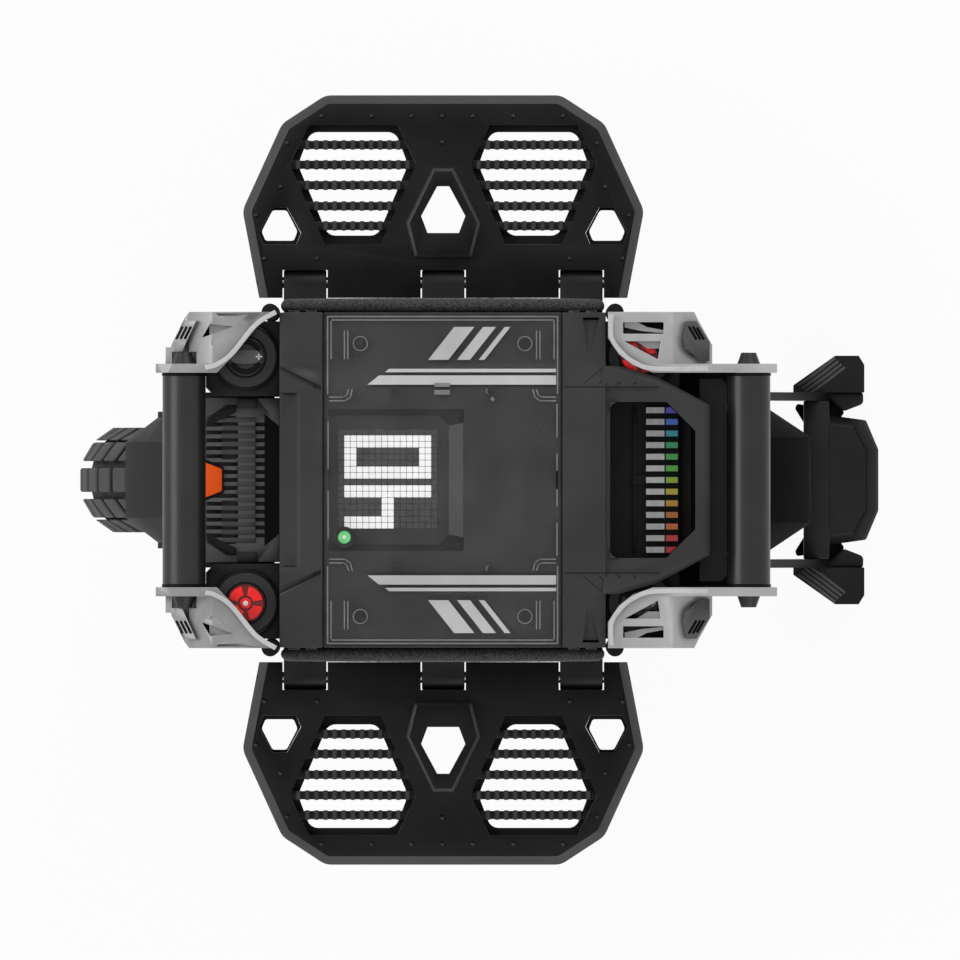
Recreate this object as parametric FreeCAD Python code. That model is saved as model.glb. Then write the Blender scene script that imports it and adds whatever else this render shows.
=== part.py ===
import FreeCAD, Part
import math
import os

# Electric unicycle with a four-leg fork, folding pedals and a parking stand.
# Frame: origin on the floor under the axle, +X to the rear, +Y to the rider's right, +Z up. Millimetres, degrees.

# fits shared by every piece
overrun = 2.0
seat_gap = 0.3
turn_gap = 0.05
side_gap = 0.9

# tyre and rim
tyre_radius = 256.0
tyre_half_width = 37.0
crown_share = 0.85
tread_thickness = 17.0
sidewall = 7.0
tyre_depth = 78.0
bead_half_width = 30.0
bead_wall = 8.0
flange_height = 12.0
flange_thickness = 4.0
flange_depth = 13.0
groove_depth = 8.0
knob_count = 40
knob_gap = 8.0
knob_slant = 14.0
centre_row_share = 0.26
side_row_share = 0.40

# hub motor inside the rim
barrel_thickness = 28.0
magnet_thickness = 4.0
magnet_half_width = 24.0
magnet_count = 40
magnet_slit = 3.0
air_gap = 1.0
stator_half_width = 20.0
stator_spoke_half_width = 5.0
stator_rim_depth = 26.0
stator_window_radius = 32.0
stator_window_count = 6
axle_radius = 12.0
hub_cover_thickness = 6.0
hub_dish_share = 0.5
bearing_radius = 26.0
bearing_width = 14.0
hub_boss_wall = 10.0
hub_boss_length = 14.0
hub_bolt_count = 12
hub_bolt_radius = 2.5
hub_bolt_head_radius = 4.5
hub_bolt_head = 3.5
hub_bolt_depth = 12.0
hub_bolt_inset = 7.0

# suspension and fork
suspension_travel = 100.0
arch_clearance = 10.0
fork_ahead = 23.5
fork_inset = 30.6
fork_top_drop = 30.0
fork_tube_radius = 21.0
stanchion_radius = 16.5
stanchion_wall = 2.5
stanchion_length = 312.0
stanchion_plug = 20.0
seal_height = 7.0
seal_lip = 1.5
fork_cap_radius = 22.6
fork_cap_height = 7.0
knob_radius = 13.2
knob_height = 6.0
knob_stem_radius = 5.0
grip_bar_half_width = 4.2
grip_bar_height = 3.0
damping_dial_share = 0.92
damper_rod_radius = 5.0
damper_rod_length = 250.0
damper_piston_height = 14.0
spring_wire_radius = 1.6

# axle carriers, one on each side of the wheel
carrier_gap = 15.7
carrier_thickness = 26.0
carrier_top = 40.0
carrier_low = 34.0
carrier_end_height = 36.0
carrier_waist = 44.0
lug_radius = 24.0
lug_low = 6.0
lug_height = 50.0
lug_floor = 6.0
axle_nut_thickness = 4.0
axle_nut_radius = 19.0
nut_sides = 6

# mudguards
guard_gap = 14.0
guard_wall = 3.5
guard_side_drop = 26.0
front_guard_flat = 26.4
front_guard_half_width = 47.8
front_guard_tip_drop = 48.0
front_guard_wide_drop = 76.0
rear_guard_flat = 30.0
rear_guard_half_width = 50.0
rear_guard_tip_drop = 12.0
rear_guard_wide_drop = 42.0
guard_end_drop = 120.0
guard_stay_width = 18.0
guard_stay_thickness = 4.0
guard_stay_foot_x = 96.0
guard_stay_foot_height = 20.0
guard_stay_boss_radius = 9.0
guard_stay_angle = 40.0

# parking stand behind the wheel
stand_pivot_behind = 53.5
stand_pivot_drop = 22.0
stand_stud_radius = 6.0
stand_stud_head_radius = 10.0
stand_stud_head = 3.0
stand_lug_thickness = 8.0
stand_lug_radius = 16.0
stand_arm_inner = 56.0
stand_arm_thickness = 6.0
stand_arm_half_width = 11.0
stand_beam_x = 255.0
stand_beam_depth = 18.0
stand_beam_low = 22.0
stand_beam_height = 38.0
stand_foot_x = 248.0
stand_foot_length = 50.0
stand_foot_width = 26.0
stand_foot_height = 46.0
stand_foot_rib_count = 3
stand_foot_rib_depth = 3.0
stand_foot_rib_width = 5.0
stand_heel_length = 35.0
stand_heel_half_width = 46.0
stand_heel_height = 36.0
stand_heel_low = 8.0
stand_heel_chamfer = 6.0
stand_heel_shares = ((0.47, 1.0), (0.92, 0.75), (1.0, 0.0))
stand_foot_shares = ((0.0, 0.0), (1.0, 0.0), (1.0, 0.75), (0.92, 1.0), (0.59, 1.0), (0.0, 0.2))

# frame deck, battery boxes and foam pads
body_half_length = 113.0
deck_thickness = 8.0
battery_height = 192.0
battery_inner = 48.0
battery_wall = 3.0
battery_play = 1.0
battery_front_room = 40.0
battery_chamfer = 16.0
foam_thickness = 10.7
foam_height = 190.0
foam_drop = 10.0
foam_end_radius = 8.0
foam_edge_radius = 4.0
foam_crown = 2.0

# fork clamps and corner bumpers
clamp_length = 51.0
clamp_inner_reach = 27.4
clamp_outer_reach = 24.6
upper_clamp_height = 88.0
lower_clamp_height = 34.0
clamp_drop = 2.0
lower_clamp_rise = 12.0
clamp_corner = 6.0
bumper_radius = 6.0
bumper_gap = 0.5
bumper_length = 230.0

# pedal hangers and pedals
hanger_gap = 5.5
hanger_inset = 18.5
hanger_thickness = 16.5
hanger_low_z = 172.0
hanger_top_inset = 13.0
hanger_low_inset = 1.0
hanger_flange_height = 10.0
hanger_flange_inner = 60.0
hanger_pocket = 4.0
hanger_pocket_shares = (0.36, 0.16, 0.84)
pedal_axis_reach = 23.0
pedal_axis_z = 191.0
pedal_top_rise = 9.0
pedal_thickness = 18.0
pedal_half_length = 141.4
pedal_inner_gap = 10.7
pedal_depth = 142.7
pedal_outline_shares = ((0.917, 0.0), (1.0, 0.432), (0.803, 0.86), (0.587, 1.0))
pedal_corner_radius = 14.0
pedal_chamfer = 6.0
pedal_window_x = 63.6
pedal_window_shares = ((0.139, 0.264), (0.315, 0.657), (0.219, 0.853))
pedal_bar_shares = (0.355, 0.453, 0.556, 0.657, 0.755)
pedal_bar_width = 5.8
pedal_bar_drop = 3.0
pedal_bar_height = 10.0
pedal_boss_shares = ((0.141, 0.201), (0.184, 0.369), (0.051, 0.639))
pedal_boss_hole_shares = ((0.078, 0.320), (0.110, 0.404), (0.030, 0.551))
pedal_boss_rise = 4.0
pedal_side_hole_x = 115.0
pedal_side_hole_shares = ((0.081, 0.264), (0.105, 0.320), (0.035, 0.446))
hinge_pin_radius = 4.0
hinge_pin_end = 6.0
knuckle_radius = 8.6
knuckle_half_width = 15.0
knuckle_x = 97.3

# top covers and the display
cover_height = 86.0
cover_shoulder_drop = 10.0
cover_plateau_inset = 52.3
cover_slope_inset = 35.0
cover_wall = 3.0
display_inset = 31.0
display_step_height = 60.0
joint_line = 1.0
front_cover_nose_inset = 14.0
front_cover_nose_drop = 16.0
front_cover_nose_half = 60.0
pocket_rear_x = 14.7
pocket_half_width = 49.0
pocket_depth = 10.0
display_board_thickness = 3.0
display_board_margin = 3.0
button_inset = 14.0
button_y = -39.6
button_radius = 4.8
button_flange = 2.0
button_flange_height = 2.5
button_proud = 1.2
button_travel = 1.5
screw_radius = 2.2
screw_head = 1.2
screw_x = 33.0
screw_inset = 2.2
corner_screw_inset = 25.0
corner_screw_reach = 13.5
controller_half_length = 62.0
controller_half_width = 50.0
controller_plate = 4.0
controller_part_height = 14.0

# rear hood, tail light and charge port
hood_length = 72.0
hood_half_width = 79.0
hood_thickness = 10.4
hood_shares = ((0.66, 1.0), (0.90, 0.5), (1.0, 0.12))
tub_half_width = 57.0
tub_length = 65.0
tub_depth = 40.0
tub_wall = 3.0
tub_corner = 20.0
tray_thickness = 4.0
light_bar_count = 13
light_bar_pitch = 8.06
light_bar_width = 4.06
light_bar_reach = 28.0
light_bar_length = 22.0
light_bar_height = 8.0
port_length = 19.0
port_half_width = 70.0
port_height = 28.0
port_rise = 4.0
port_hole_radius = 9.0
port_hole_depth = 8.0
port_hole_y = 30.0

# headlight block
lamp_length = 72.0
lamp_half_width = 57.0
lamp_height = 54.0
lamp_wall = 5.0
lamp_nose_share = 0.62
lamp_fin_pitch = 5.5
lamp_fin_gap = 2.8
lamp_fin_depth = 16.0
lamp_fin_half_width = 40.0
lamp_fin_front_reach = 51.0
lamp_column_front_reach = 29.0
lamp_column_rear_reach = 17.0
lamp_fin_rear_reach = 5.0
lens_half_width = 34.0
lens_height = 30.0
lens_thickness = 3.0
lens_seat = 1.5
trim_rear_reach = 40.0
trim_rear_half = 7.8
trim_front_half = 20.0
trim_proud = 2.0
trim_seat = 2.0

# grab brackets and bars
bar_radius = 15.0
bar_drop = 21.0
front_bar_reach = 66.0
rear_bar_reach = 99.0
bar_inset = 41.7
bar_plate = 6.2
bar_plate_height = 38.0
bar_plate_reach = 19.6
bracket_roof = 7.0
bracket_roof_drop = 6.0
bracket_proud = 0.4
bracket_wall = 6.0
bracket_skirt = 46.0
bracket_front_wall_height = 24.0
bracket_nose_reach = 9.0
bar_cap_length = 7.7
bar_cap_base = 8.0
bar_cap_tip = 5.2
bar_bolt_radius = 4.0
bar_bolt_depth = 14.0
bracket_level_share = 0.62
front_bracket_root_share = 0.577
rear_bracket_root_share = 0.435
front_bracket_shares = ((0.02, 1.0), (0.205, 0.76), (0.425, 0.28), (0.577, 0.0), (1.0, 0.0), (1.0, 0.456),
                        (0.873, 0.912), (0.832, 1.0))
rear_bracket_shares = ((0.02, 1.0), (0.02, 0.572), (0.12, 0.30), (0.25, 0.12), (0.435, 0.0), (0.984, 0.0),
                       (0.984, 0.454), (0.853, 0.87), (0.817, 1.0))
front_window_shares = (((0.713, 0.577), (0.64, 0.80), (0.425, 0.76)),)
rear_window_shares = (((0.16, 0.64), (0.533, 0.64), (0.533, 0.83), (0.16, 0.83)),
                      ((0.173, 0.515), (0.507, 0.515), (0.48, 0.22)),
                      ((0.72, 0.45), (0.78, 0.80), (0.84, 0.82), (0.93, 0.42), (0.90, 0.26), (0.80, 0.27)))

# places worked out from the sizes above
axle_z = tyre_radius
bead_radius = tyre_radius - tyre_depth
hub_bore_radius = bead_radius - barrel_thickness
rim_face = bead_half_width + seat_gap
carrier_inner = rim_face + hub_cover_thickness + hub_boss_length + carrier_gap
carrier_outer = carrier_inner + carrier_thickness
hanger_inner = carrier_outer + hanger_gap
body_half_width = hanger_inner + hanger_inset
fork_x = body_half_length + fork_ahead
fork_y = body_half_width - fork_inset
clamp_inner = fork_y - clamp_inner_reach
clamp_outer = fork_y + clamp_outer_reach
bumper_x = body_half_length + bumper_radius + bumper_gap
hanger_top_half_length = body_half_length - hanger_top_inset
hanger_low_half_length = body_half_length - hanger_low_inset
pedal_axis_y = body_half_width + pedal_axis_reach
knuckle_notch = knuckle_radius + seat_gap
cover_plateau = body_half_width - cover_plateau_inset
cover_slope_end = body_half_width - cover_slope_inset
display_half_length = body_half_length - display_inset
button_x = button_inset - display_half_length
screw_y = cover_plateau - screw_inset
corner_screw_x = display_half_length - corner_screw_inset
corner_screw_y = cover_slope_end + corner_screw_reach
front_cover_nose_x = body_half_length - front_cover_nose_inset
light_bar_x = body_half_length + light_bar_reach
lamp_fin_front_x = body_half_length + lamp_fin_front_reach
lamp_column_front_x = body_half_length + lamp_column_front_reach
lamp_column_rear_x = body_half_length + lamp_column_rear_reach
lamp_fin_rear_x = body_half_length + lamp_fin_rear_reach
trim_rear_x = body_half_length + trim_rear_reach
front_bar_x = body_half_length + front_bar_reach
rear_bar_x = body_half_length + rear_bar_reach
bar_half_length = body_half_width - bar_inset
bracket_outer = body_half_width + bracket_proud
bracket_nose = front_bar_x + bracket_nose_reach
guard_radius = tyre_radius + guard_gap
front_guard_tip = guard_radius - front_guard_tip_drop
front_guard_wide = guard_radius - front_guard_wide_drop
rear_guard_tip = guard_radius - rear_guard_tip_drop
rear_guard_wide = guard_radius - rear_guard_wide_drop
guard_end = guard_radius - guard_end_drop
stand_pivot_x = fork_x + stand_pivot_behind
stand_pivot_z = axle_z - stand_pivot_drop
deck_low_z = axle_z + tyre_radius + suspension_travel + arch_clearance
deck_top_z = deck_low_z + deck_thickness
cover_top_z = deck_top_z + cover_height
cover_shoulder_z = cover_top_z - cover_shoulder_drop
battery_low_z = deck_low_z - battery_height
lug_low_z = axle_z + lug_low
lug_top_z = lug_low_z + lug_height
fork_tube_low_z = lug_top_z + suspension_travel + seal_height + arch_clearance / 2
fork_tube_top_z = cover_top_z - fork_top_drop
fork_cap_top_z = fork_tube_top_z + fork_cap_height
clamp_top_z = fork_tube_top_z - clamp_drop
stanchion_low_z = lug_low_z + lug_floor
stanchion_bore = stanchion_radius - stanchion_wall
flange_low_radius = bead_radius - flange_depth
hub_cover_radius = flange_low_radius - seat_gap
crown_radius = tyre_half_width * crown_share
stator_radius = hub_bore_radius - seat_gap - magnet_thickness - air_gap
stand_arm_outer = stand_arm_inner + stand_arm_thickness
bar_z = cover_top_z - bar_drop
bracket_top_z = cover_top_z - bracket_roof_drop
pedal_inner_y = pedal_axis_y - pedal_inner_gap
pedal_top_z = pedal_axis_z + pedal_top_rise
spot_x = FreeCAD.Vector(1, 0, 0)
spot_y = FreeCAD.Vector(0, 1, 0)
spot_z = FreeCAD.Vector(0, 0, 1)
origin = FreeCAD.Vector(0, 0, 0)
axle_point = FreeCAD.Vector(0, 0, axle_z)


def point(x, y, z):
    return FreeCAD.Vector(x, y, z)


def block(x_span, y_span, z_span):
    """A box between the two ends of each span."""
    low = [min(span) for span in (x_span, y_span, z_span)]
    size = [abs(span[1] - span[0]) for span in (x_span, y_span, z_span)]
    return Part.makeBox(*size, FreeCAD.Vector(*low))


def rod(radius, start, end):
    """A round bar between two points."""
    path = end - start
    return Part.makeCylinder(radius, path.Length, start, path)


def tube(inner, outer, start, end):
    path = end - start
    return rod(outer, start, end).cut(rod(inner, start - path, end + path))


def ring(inner, outer, y_span):
    """A ring about the axle."""
    return tube(inner, outer, point(0, y_span[0], axle_z), point(0, y_span[1], axle_z))


def closed(points):
    return Part.Wire(Part.makePolygon(points + points[:1]))


def prism_z(outline, z_span):
    """An outline of (x, y) points, raised between two heights."""
    wire = closed([point(x, y, z_span[0]) for x, y in outline])
    return Part.Face(wire).extrude(point(0, 0, z_span[1] - z_span[0]))


def prism_y(outline, y_span):
    """An outline of (x, z) points, drawn across between two values of y."""
    wire = closed([point(x, y_span[0], z) for x, z in outline])
    return Part.Face(wire).extrude(point(0, y_span[1] - y_span[0], 0))


def prism_x(outline, x_span):
    """An outline of (y, z) points, drawn along between two values of x."""
    wire = closed([point(x_span[0], y, z) for y, z in outline])
    return Part.Face(wire).extrude(point(x_span[1] - x_span[0], 0, 0))


def both_sides(points):
    """Half an outline and its mirror image across the middle."""
    return points + [(-u, v) for u, v in reversed(points)]


def left(shape):
    return shape.mirror(origin, spot_y)


def front(shape):
    return shape.mirror(origin, spot_x)


def pair(shape):
    return [shape, left(shape)]


def four(shape):
    return pair(shape) + pair(front(shape))


def joined(shapes):
    return shapes[0].multiFuse(shapes[1:]).removeSplitter()


def without(shape, tools):
    return shape.cut(Part.makeCompound(tools))


def about_axle(shape, angle):
    return shape.rotated(axle_point, spot_y, angle)


def upright_edges(shape):
    return [e for e in shape.Edges if abs(e.tangentAt(e.FirstParameter).z) > 1 - 1e-6]


def edges_at_height(shape, z):
    return [e for e in shape.Edges if abs(e.BoundBox.ZMin - z) + abs(e.BoundBox.ZMax - z) < 1e-4]


def save(name, shapes):
    solids = [solid for shape in shapes for solid in shape.Solids]
    whole = solids[0] if len(solids) == 1 else Part.makeCompound(solids)
    whole.exportStep("parts/" + name + ".step")


# Wheel


def crown(y):
    """The tread's radius at a place across it: level on the centre row, then round."""
    past = max(abs(y) - centre_row_share * tyre_half_width, 0)
    return tyre_radius - crown_radius + math.sqrt(crown_radius**2 - past**2)


def knob_pitch():
    return 360.0 / knob_count


def tread_slots():
    """The cuts across each row of knobs, in one pitch of the tread and its neighbours."""
    centre = centre_row_share * tyre_half_width
    side_row = side_row_share * tyre_half_width
    rows = [(-centre, centre, 0, 0)]
    for side in (-1, 1):
        rows.append((side * side_row, side * (tyre_half_width + overrun), side * knob_slant, 1))
    slots = []
    for start, end, slant, shift in rows:
        floor = crown(min(max(abs(start), abs(end)), tyre_half_width)) - groove_depth
        slot = block((-knob_gap / 2, knob_gap / 2), (start, end), (floor, tyre_radius + overrun))
        slot = slot.rotated(point(0, (start + end) / 2, 0), spot_z, slant)
        slot.translate(axle_point)
        for index in range(-1, 3):
            slots.append(about_axle(slot, (index + shift / 2) * knob_pitch()))
    return slots


def tread_grooves():
    """The grooves that run round the tyre between its rows of knobs."""
    start = centre_row_share * tyre_half_width
    end = side_row_share * tyre_half_width
    return pair(ring(crown((start + end) / 2) - groove_depth, tyre_radius + overrun, (start, end)))


def tyre():
    shoulder = crown(tyre_half_width)
    flange_top = bead_radius + flange_height
    side_middle = (flange_top + shoulder) / 2
    inner_half = tyre_half_width - sidewall
    level = centre_row_share * tyre_half_width

    def at(y, radius):
        return point(0, y, axle_z + radius)

    def arc(start, middle, end):
        return Part.Arc(start, middle, end).toShape()

    bead = at(bead_half_width, bead_radius)
    lip = at(bead_half_width, flange_top)
    edge = at(tyre_half_width, shoulder)
    bulge = at(tyre_half_width, side_middle)
    inner_bead = at(bead_half_width - bead_wall, bead_radius)
    inner_edge = at(inner_half, shoulder - sidewall)
    inner_low = at(bead_half_width - sidewall, flange_top)
    half = [
        Part.makeLine(bead, lip),
        arc(lip, (lip + bulge) / 2 + spot_y * groove_depth / 4, bulge),
        Part.makeLine(bulge, edge),
        arc(edge, at(tyre_half_width / 2, crown(tyre_half_width / 2)), at(level, tyre_radius)),
        Part.makeLine(at(level, tyre_radius), at(0, tyre_radius)),
        Part.makeLine(at(0, tyre_radius), at(0, tyre_radius - tread_thickness)),
        arc(at(0, tyre_radius - tread_thickness),
            at(inner_half / 2, crown(inner_half / 2) - tread_thickness), inner_edge),
        Part.makeLine(inner_edge, inner_low),
        Part.makeLine(inner_low, inner_bead),
        Part.makeLine(inner_bead, bead),
    ]
    side = Part.Face(Part.Wire(half)).revolve(axle_point, spot_y, knob_pitch())
    sector = without(joined(pair(side)), tread_grooves() + tread_slots())
    return round_the_axle([face for face in sector.Faces if not holds_axle(face)], knob_count)


def holds_axle(face):
    """Whether a face lies in a plane through the axle, as the two ends of a sector do."""
    if not isinstance(face.Surface, Part.Plane):
        return False
    normal = face.Surface.Axis
    off_axis = abs((face.CenterOfMass - axle_point).dot(normal))
    return off_axis < 1e-6 and abs(normal.dot(spot_y)) < 1e-6


def round_the_axle(faces, count):
    """A solid closed up from one sector's outer faces, turned outwards and repeated round the axle."""
    shell = Part.Shell([about_axle(face, index * 360.0 / count) for index in range(count) for face in faces])
    shell.sewShape()
    solid = Part.Solid(shell)
    if solid.Volume < 0:
        outward = Part.Shell([face.reversed() for face in solid.Faces])
        outward.sewShape()
        solid = Part.Solid(outward)
    return solid


def bolt_spots():
    """Where the hub bolts sit, as points at the level of the axle."""
    circle = hub_cover_radius - hub_bolt_inset
    turn = 2 * math.pi / hub_bolt_count
    return [(circle * math.cos(i * turn), axle_z + circle * math.sin(i * turn)) for i in range(hub_bolt_count)]


def across(radius, spot, y_span):
    """A round bar across the wheel at an (x, z) spot."""
    return rod(radius, point(spot[0], y_span[0], spot[1]), point(spot[0], y_span[1], spot[1]))


def rim():
    barrel = ring(hub_bore_radius, bead_radius - seat_gap, (-rim_face, rim_face))
    flange = ring(flange_low_radius, bead_radius + flange_height, (rim_face, rim_face + flange_thickness))
    whole = joined([barrel] + pair(flange))
    depth = rim_face - (hub_bolt_depth - hub_cover_thickness)
    holes = [across(hub_bolt_radius + seat_gap, spot, (depth, rim_face + overrun)) for spot in bolt_spots()]
    return without(whole, holes + [left(hole) for hole in holes])


def magnets():
    """The magnets glued round the inside of the rim, a slit apart."""
    outer = hub_bore_radius - seat_gap
    pitch = 360.0 / magnet_count
    slit_turn = math.degrees(magnet_slit / outer)
    profile = [(-magnet_half_width, outer), (magnet_half_width, outer), (magnet_half_width, outer - magnet_thickness),
               (-magnet_half_width, outer - magnet_thickness)]
    wire = closed([point(0, y, axle_z + radius) for y, radius in profile])
    magnet = Part.Face(wire).revolve(axle_point, spot_y, pitch - slit_turn)
    return [about_axle(magnet, index * pitch) for index in range(magnet_count)]


def hub_cover():
    """The dished cover on the right side of the motor, with its bearing boss."""
    face = rim_face
    plate = face + hub_cover_thickness
    boss = bearing_radius + hub_boss_wall
    bore = bearing_radius + seat_gap / 3
    dish = hub_cover_radius - (hub_cover_radius - boss) * hub_dish_share / 2
    flat = boss + (hub_cover_radius - boss) * hub_dish_share / 2
    profile = [(face, bore), (face, hub_cover_radius), (plate, hub_cover_radius), (plate, dish),
               (plate + hub_cover_thickness, flat), (plate + hub_cover_thickness, boss + hub_cover_thickness),
               (plate + hub_boss_length, boss), (plate + hub_boss_length, bore)]
    wire = closed([point(0, y, axle_z + radius) for y, radius in profile])
    cover = Part.Face(wire).revolve(axle_point, spot_y, 360)
    holes = [across(hub_bolt_radius + seat_gap, spot, (0, plate + overrun)) for spot in bolt_spots()]
    return without(cover, holes)


def hub_bearing():
    start = rim_face + hub_cover_thickness
    return ring(axle_radius + turn_gap, bearing_radius, (start, start + bearing_width))


def hub_bolts():
    plate = rim_face + hub_cover_thickness
    bolts = []
    for spot in bolt_spots():
        shank = across(hub_bolt_radius, spot, (plate - hub_bolt_depth + seat_gap, plate))
        head = across(hub_bolt_head_radius, spot, (plate, plate + hub_bolt_head))
        bolts.append(joined([shank, head]))
    return bolts + [left(bolt) for bolt in bolts]


def wheel():
    save("tyre", [tyre()])
    save("rim", [rim()])
    save("magnets", magnets())
    save("hub_covers", pair(hub_cover()))
    save("hub_bearings", pair(hub_bearing()))
    save("hub_bolts", hub_bolts())


# Unsprung carriage


def axle():
    end = carrier_outer + axle_nut_thickness
    return rod(axle_radius, point(0, -end, axle_z), point(0, end, axle_z))


def axle_nut():
    turn = 2 * math.pi / nut_sides
    outline = [(axle_nut_radius * math.cos(i * turn), axle_z + axle_nut_radius * math.sin(i * turn))
               for i in range(nut_sides)]
    nut = prism_y(outline, (carrier_outer, carrier_outer + axle_nut_thickness))
    return nut.cut(across(axle_radius + turn_gap, (0, axle_z), (0, carrier_outer * 2)))


def stator():
    """The laminated ring with its spoke plate, opened by round windows."""
    bore = axle_radius + turn_gap
    ring_inner = stator_radius - stator_rim_depth
    core = ring(ring_inner, stator_radius, (-stator_half_width, stator_half_width))
    plate = ring(bore, stator_radius - stator_rim_depth / 2, (-stator_spoke_half_width, stator_spoke_half_width))
    middle = (ring_inner + bore) / 2
    turn = 2 * math.pi / stator_window_count
    windows = []
    for index in range(stator_window_count):
        spot = (middle * math.cos(index * turn), axle_z + middle * math.sin(index * turn))
        windows.append(across(stator_window_radius, spot, (-stator_half_width, stator_half_width)))
    return joined([core, without(plate, windows)])


def stand_lug_outline():
    """The lug that reaches back from the carrier to the stand's pivot, as (x, z) points."""
    low = axle_z - carrier_low / 2
    top = axle_z + carrier_top
    return [(fork_x - lug_radius, low), (fork_x - lug_radius, top), (fork_x + lug_radius, top),
            (stand_pivot_x + stand_lug_radius, stand_pivot_z + stand_lug_radius / 2),
            (stand_pivot_x + stand_lug_radius, stand_pivot_z - stand_lug_radius),
            (stand_pivot_x - stand_lug_radius, stand_pivot_z - stand_lug_radius)]


def axle_carrier():
    top = axle_z + carrier_top
    low = axle_z - carrier_low
    web = prism_y([(-fork_x, top), (fork_x, top), (fork_x, top - carrier_end_height), (carrier_waist, low),
                   (-carrier_waist, low), (-fork_x, top - carrier_end_height)], (carrier_inner, carrier_outer))
    lugs = [rod(lug_radius, point(x, fork_y, lug_low_z), point(x, fork_y, lug_top_z)) for x in (-fork_x, fork_x)]
    stand_lug = prism_y(stand_lug_outline(), (carrier_inner, carrier_inner + stand_lug_thickness))
    whole = joined([web, stand_lug] + lugs)
    bores = [rod(stanchion_radius + turn_gap, point(x, fork_y, stanchion_low_z),
                 point(x, fork_y, lug_top_z + overrun)) for x in (-fork_x, fork_x)]
    bores.append(across(axle_radius + turn_gap, (0, axle_z), (0, carrier_outer + overrun)))
    bores.append(across(stand_stud_radius + turn_gap, (stand_pivot_x, stand_pivot_z), (0, carrier_outer)))
    return without(whole, bores)


def stanchion():
    top = stanchion_low_z + stanchion_length
    whole = rod(stanchion_radius, point(fork_x, fork_y, stanchion_low_z), point(fork_x, fork_y, top))
    bore = rod(stanchion_bore, point(fork_x, fork_y, stanchion_low_z + stanchion_plug),
               point(fork_x, fork_y, top + overrun))
    return whole.cut(bore)


def mudguard(flat, half_width, tip, wide, side):
    """A three-faced guard round the tyre with two legs; side is -1 at the front, 1 at the rear."""
    low = guard_radius - guard_side_drop
    profile = both_sides([(half_width, low), (flat, guard_radius)])
    inner = both_sides([(half_width, low - guard_wall), (flat, guard_radius - guard_wall)])
    wire = closed([point(0, y, axle_z + radius) for y, radius in profile + inner[::-1]])
    sheet = Part.Face(wire).revolve(axle_point, spot_y, 360)
    plan = [(side * guard_end, -half_width), (side * wide, -half_width), (side * tip, -flat),
            (side * tip, flat), (side * wide, half_width), (side * guard_end, half_width)]
    sheet = sheet.common(prism_z(plan, (axle_z, axle_z + guard_radius + overrun)))
    turn = math.radians(guard_stay_angle)
    head = (side * low * math.cos(turn), axle_z + low * math.sin(turn))
    foot = (side * guard_stay_foot_x, axle_z + guard_stay_foot_height)
    inner_face = half_width - guard_stay_thickness
    stay = bar_outline(foot, head, guard_stay_width / 2)
    leg = prism_y(stay, (inner_face, half_width))
    boss = across(guard_stay_boss_radius, foot, (inner_face, carrier_inner))
    return joined([sheet] + pair(leg) + pair(boss))


def bar_outline(start, end, half_width):
    """A straight bar's outline from one (x, z) spot to another, run on by its half width at both ends."""
    along = (end[0] - start[0], end[1] - start[1])
    length = math.hypot(*along)
    ux, uz = along[0] / length * half_width, along[1] / length * half_width
    return [(start[0] - ux - uz, start[1] - uz + ux), (end[0] + ux - uz, end[1] + uz + ux),
            (end[0] + ux + uz, end[1] + uz - ux), (start[0] - ux + uz, start[1] - uz - ux)]


def carriage():
    save("stanchions", four(stanchion()))
    save("axle_carrier_right", [axle_carrier()])
    save("axle_carrier_left", [left(axle_carrier())])
    save("axle", [axle()])
    save("axle_nuts", pair(axle_nut()))
    save("stator", [stator()])
    save("mudguard_front", [mudguard(front_guard_flat, front_guard_half_width, front_guard_tip, front_guard_wide, -1)])
    save("mudguard_rear", [mudguard(rear_guard_flat, rear_guard_half_width, rear_guard_tip, rear_guard_wide, 1)])


# Parking stand


def stand_arm():
    """The right arm, with the pivot stud that turns in the carrier's lug."""
    pivot = (stand_pivot_x, stand_pivot_z)
    low = (stand_beam_x + stand_beam_depth / 2, stand_beam_low + stand_arm_half_width)
    arm = prism_y(bar_outline(pivot, low, stand_arm_half_width), (stand_arm_inner, stand_arm_outer))
    head = across(stand_stud_head_radius, pivot, (stand_arm_inner - stand_stud_head, stand_arm_inner))
    stud = across(stand_stud_radius, pivot, (stand_arm_inner, carrier_inner + stand_lug_thickness))
    return joined([arm, head, stud])


def stand_foot():
    """The right foot: a wing with a slanted, ribbed outer face."""
    rear = stand_foot_x + stand_foot_length
    outer = stand_arm_outer + stand_foot_width
    plan = [(stand_foot_x + u * stand_foot_length, stand_arm_outer + v * stand_foot_width)
            for u, v in stand_foot_shares]
    foot = prism_z(plan, (0, stand_foot_height))
    step = stand_foot_height / (stand_foot_rib_count + 1)
    cuts = []
    for index in range(stand_foot_rib_count):
        level = (index + 1) * step
        cut = prism_z(plan, (level - stand_foot_rib_width / 2, level + stand_foot_rib_width / 2))
        kept = cut.translated(point(stand_foot_rib_depth, -stand_foot_rib_depth, 0))
        cuts.append(cut.cut(kept).cut(block((rear - stand_foot_rib_depth, rear), (0, outer), (0, stand_foot_height))))
    return without(foot, cuts)


def stand_crossbar():
    """The bar between the two arms, with the heel that a foot treads on."""
    start = stand_beam_x + stand_beam_depth
    top = stand_heel_low + stand_heel_height
    beam = block((stand_beam_x, start), (-stand_arm_inner, stand_arm_inner),
                 (stand_beam_low, stand_beam_low + stand_beam_height))
    plan = both_sides([(v * stand_heel_half_width, start + u * stand_heel_length) for v, u in stand_heel_shares])
    heel = prism_z([(x, y) for y, x in plan], (stand_heel_low, top))
    rims = [e for e in edges_at_height(heel, top) if e.BoundBox.XMax > start]
    heel = heel.makeChamfer(stand_heel_chamfer, rims)
    return joined([beam, heel])


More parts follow.
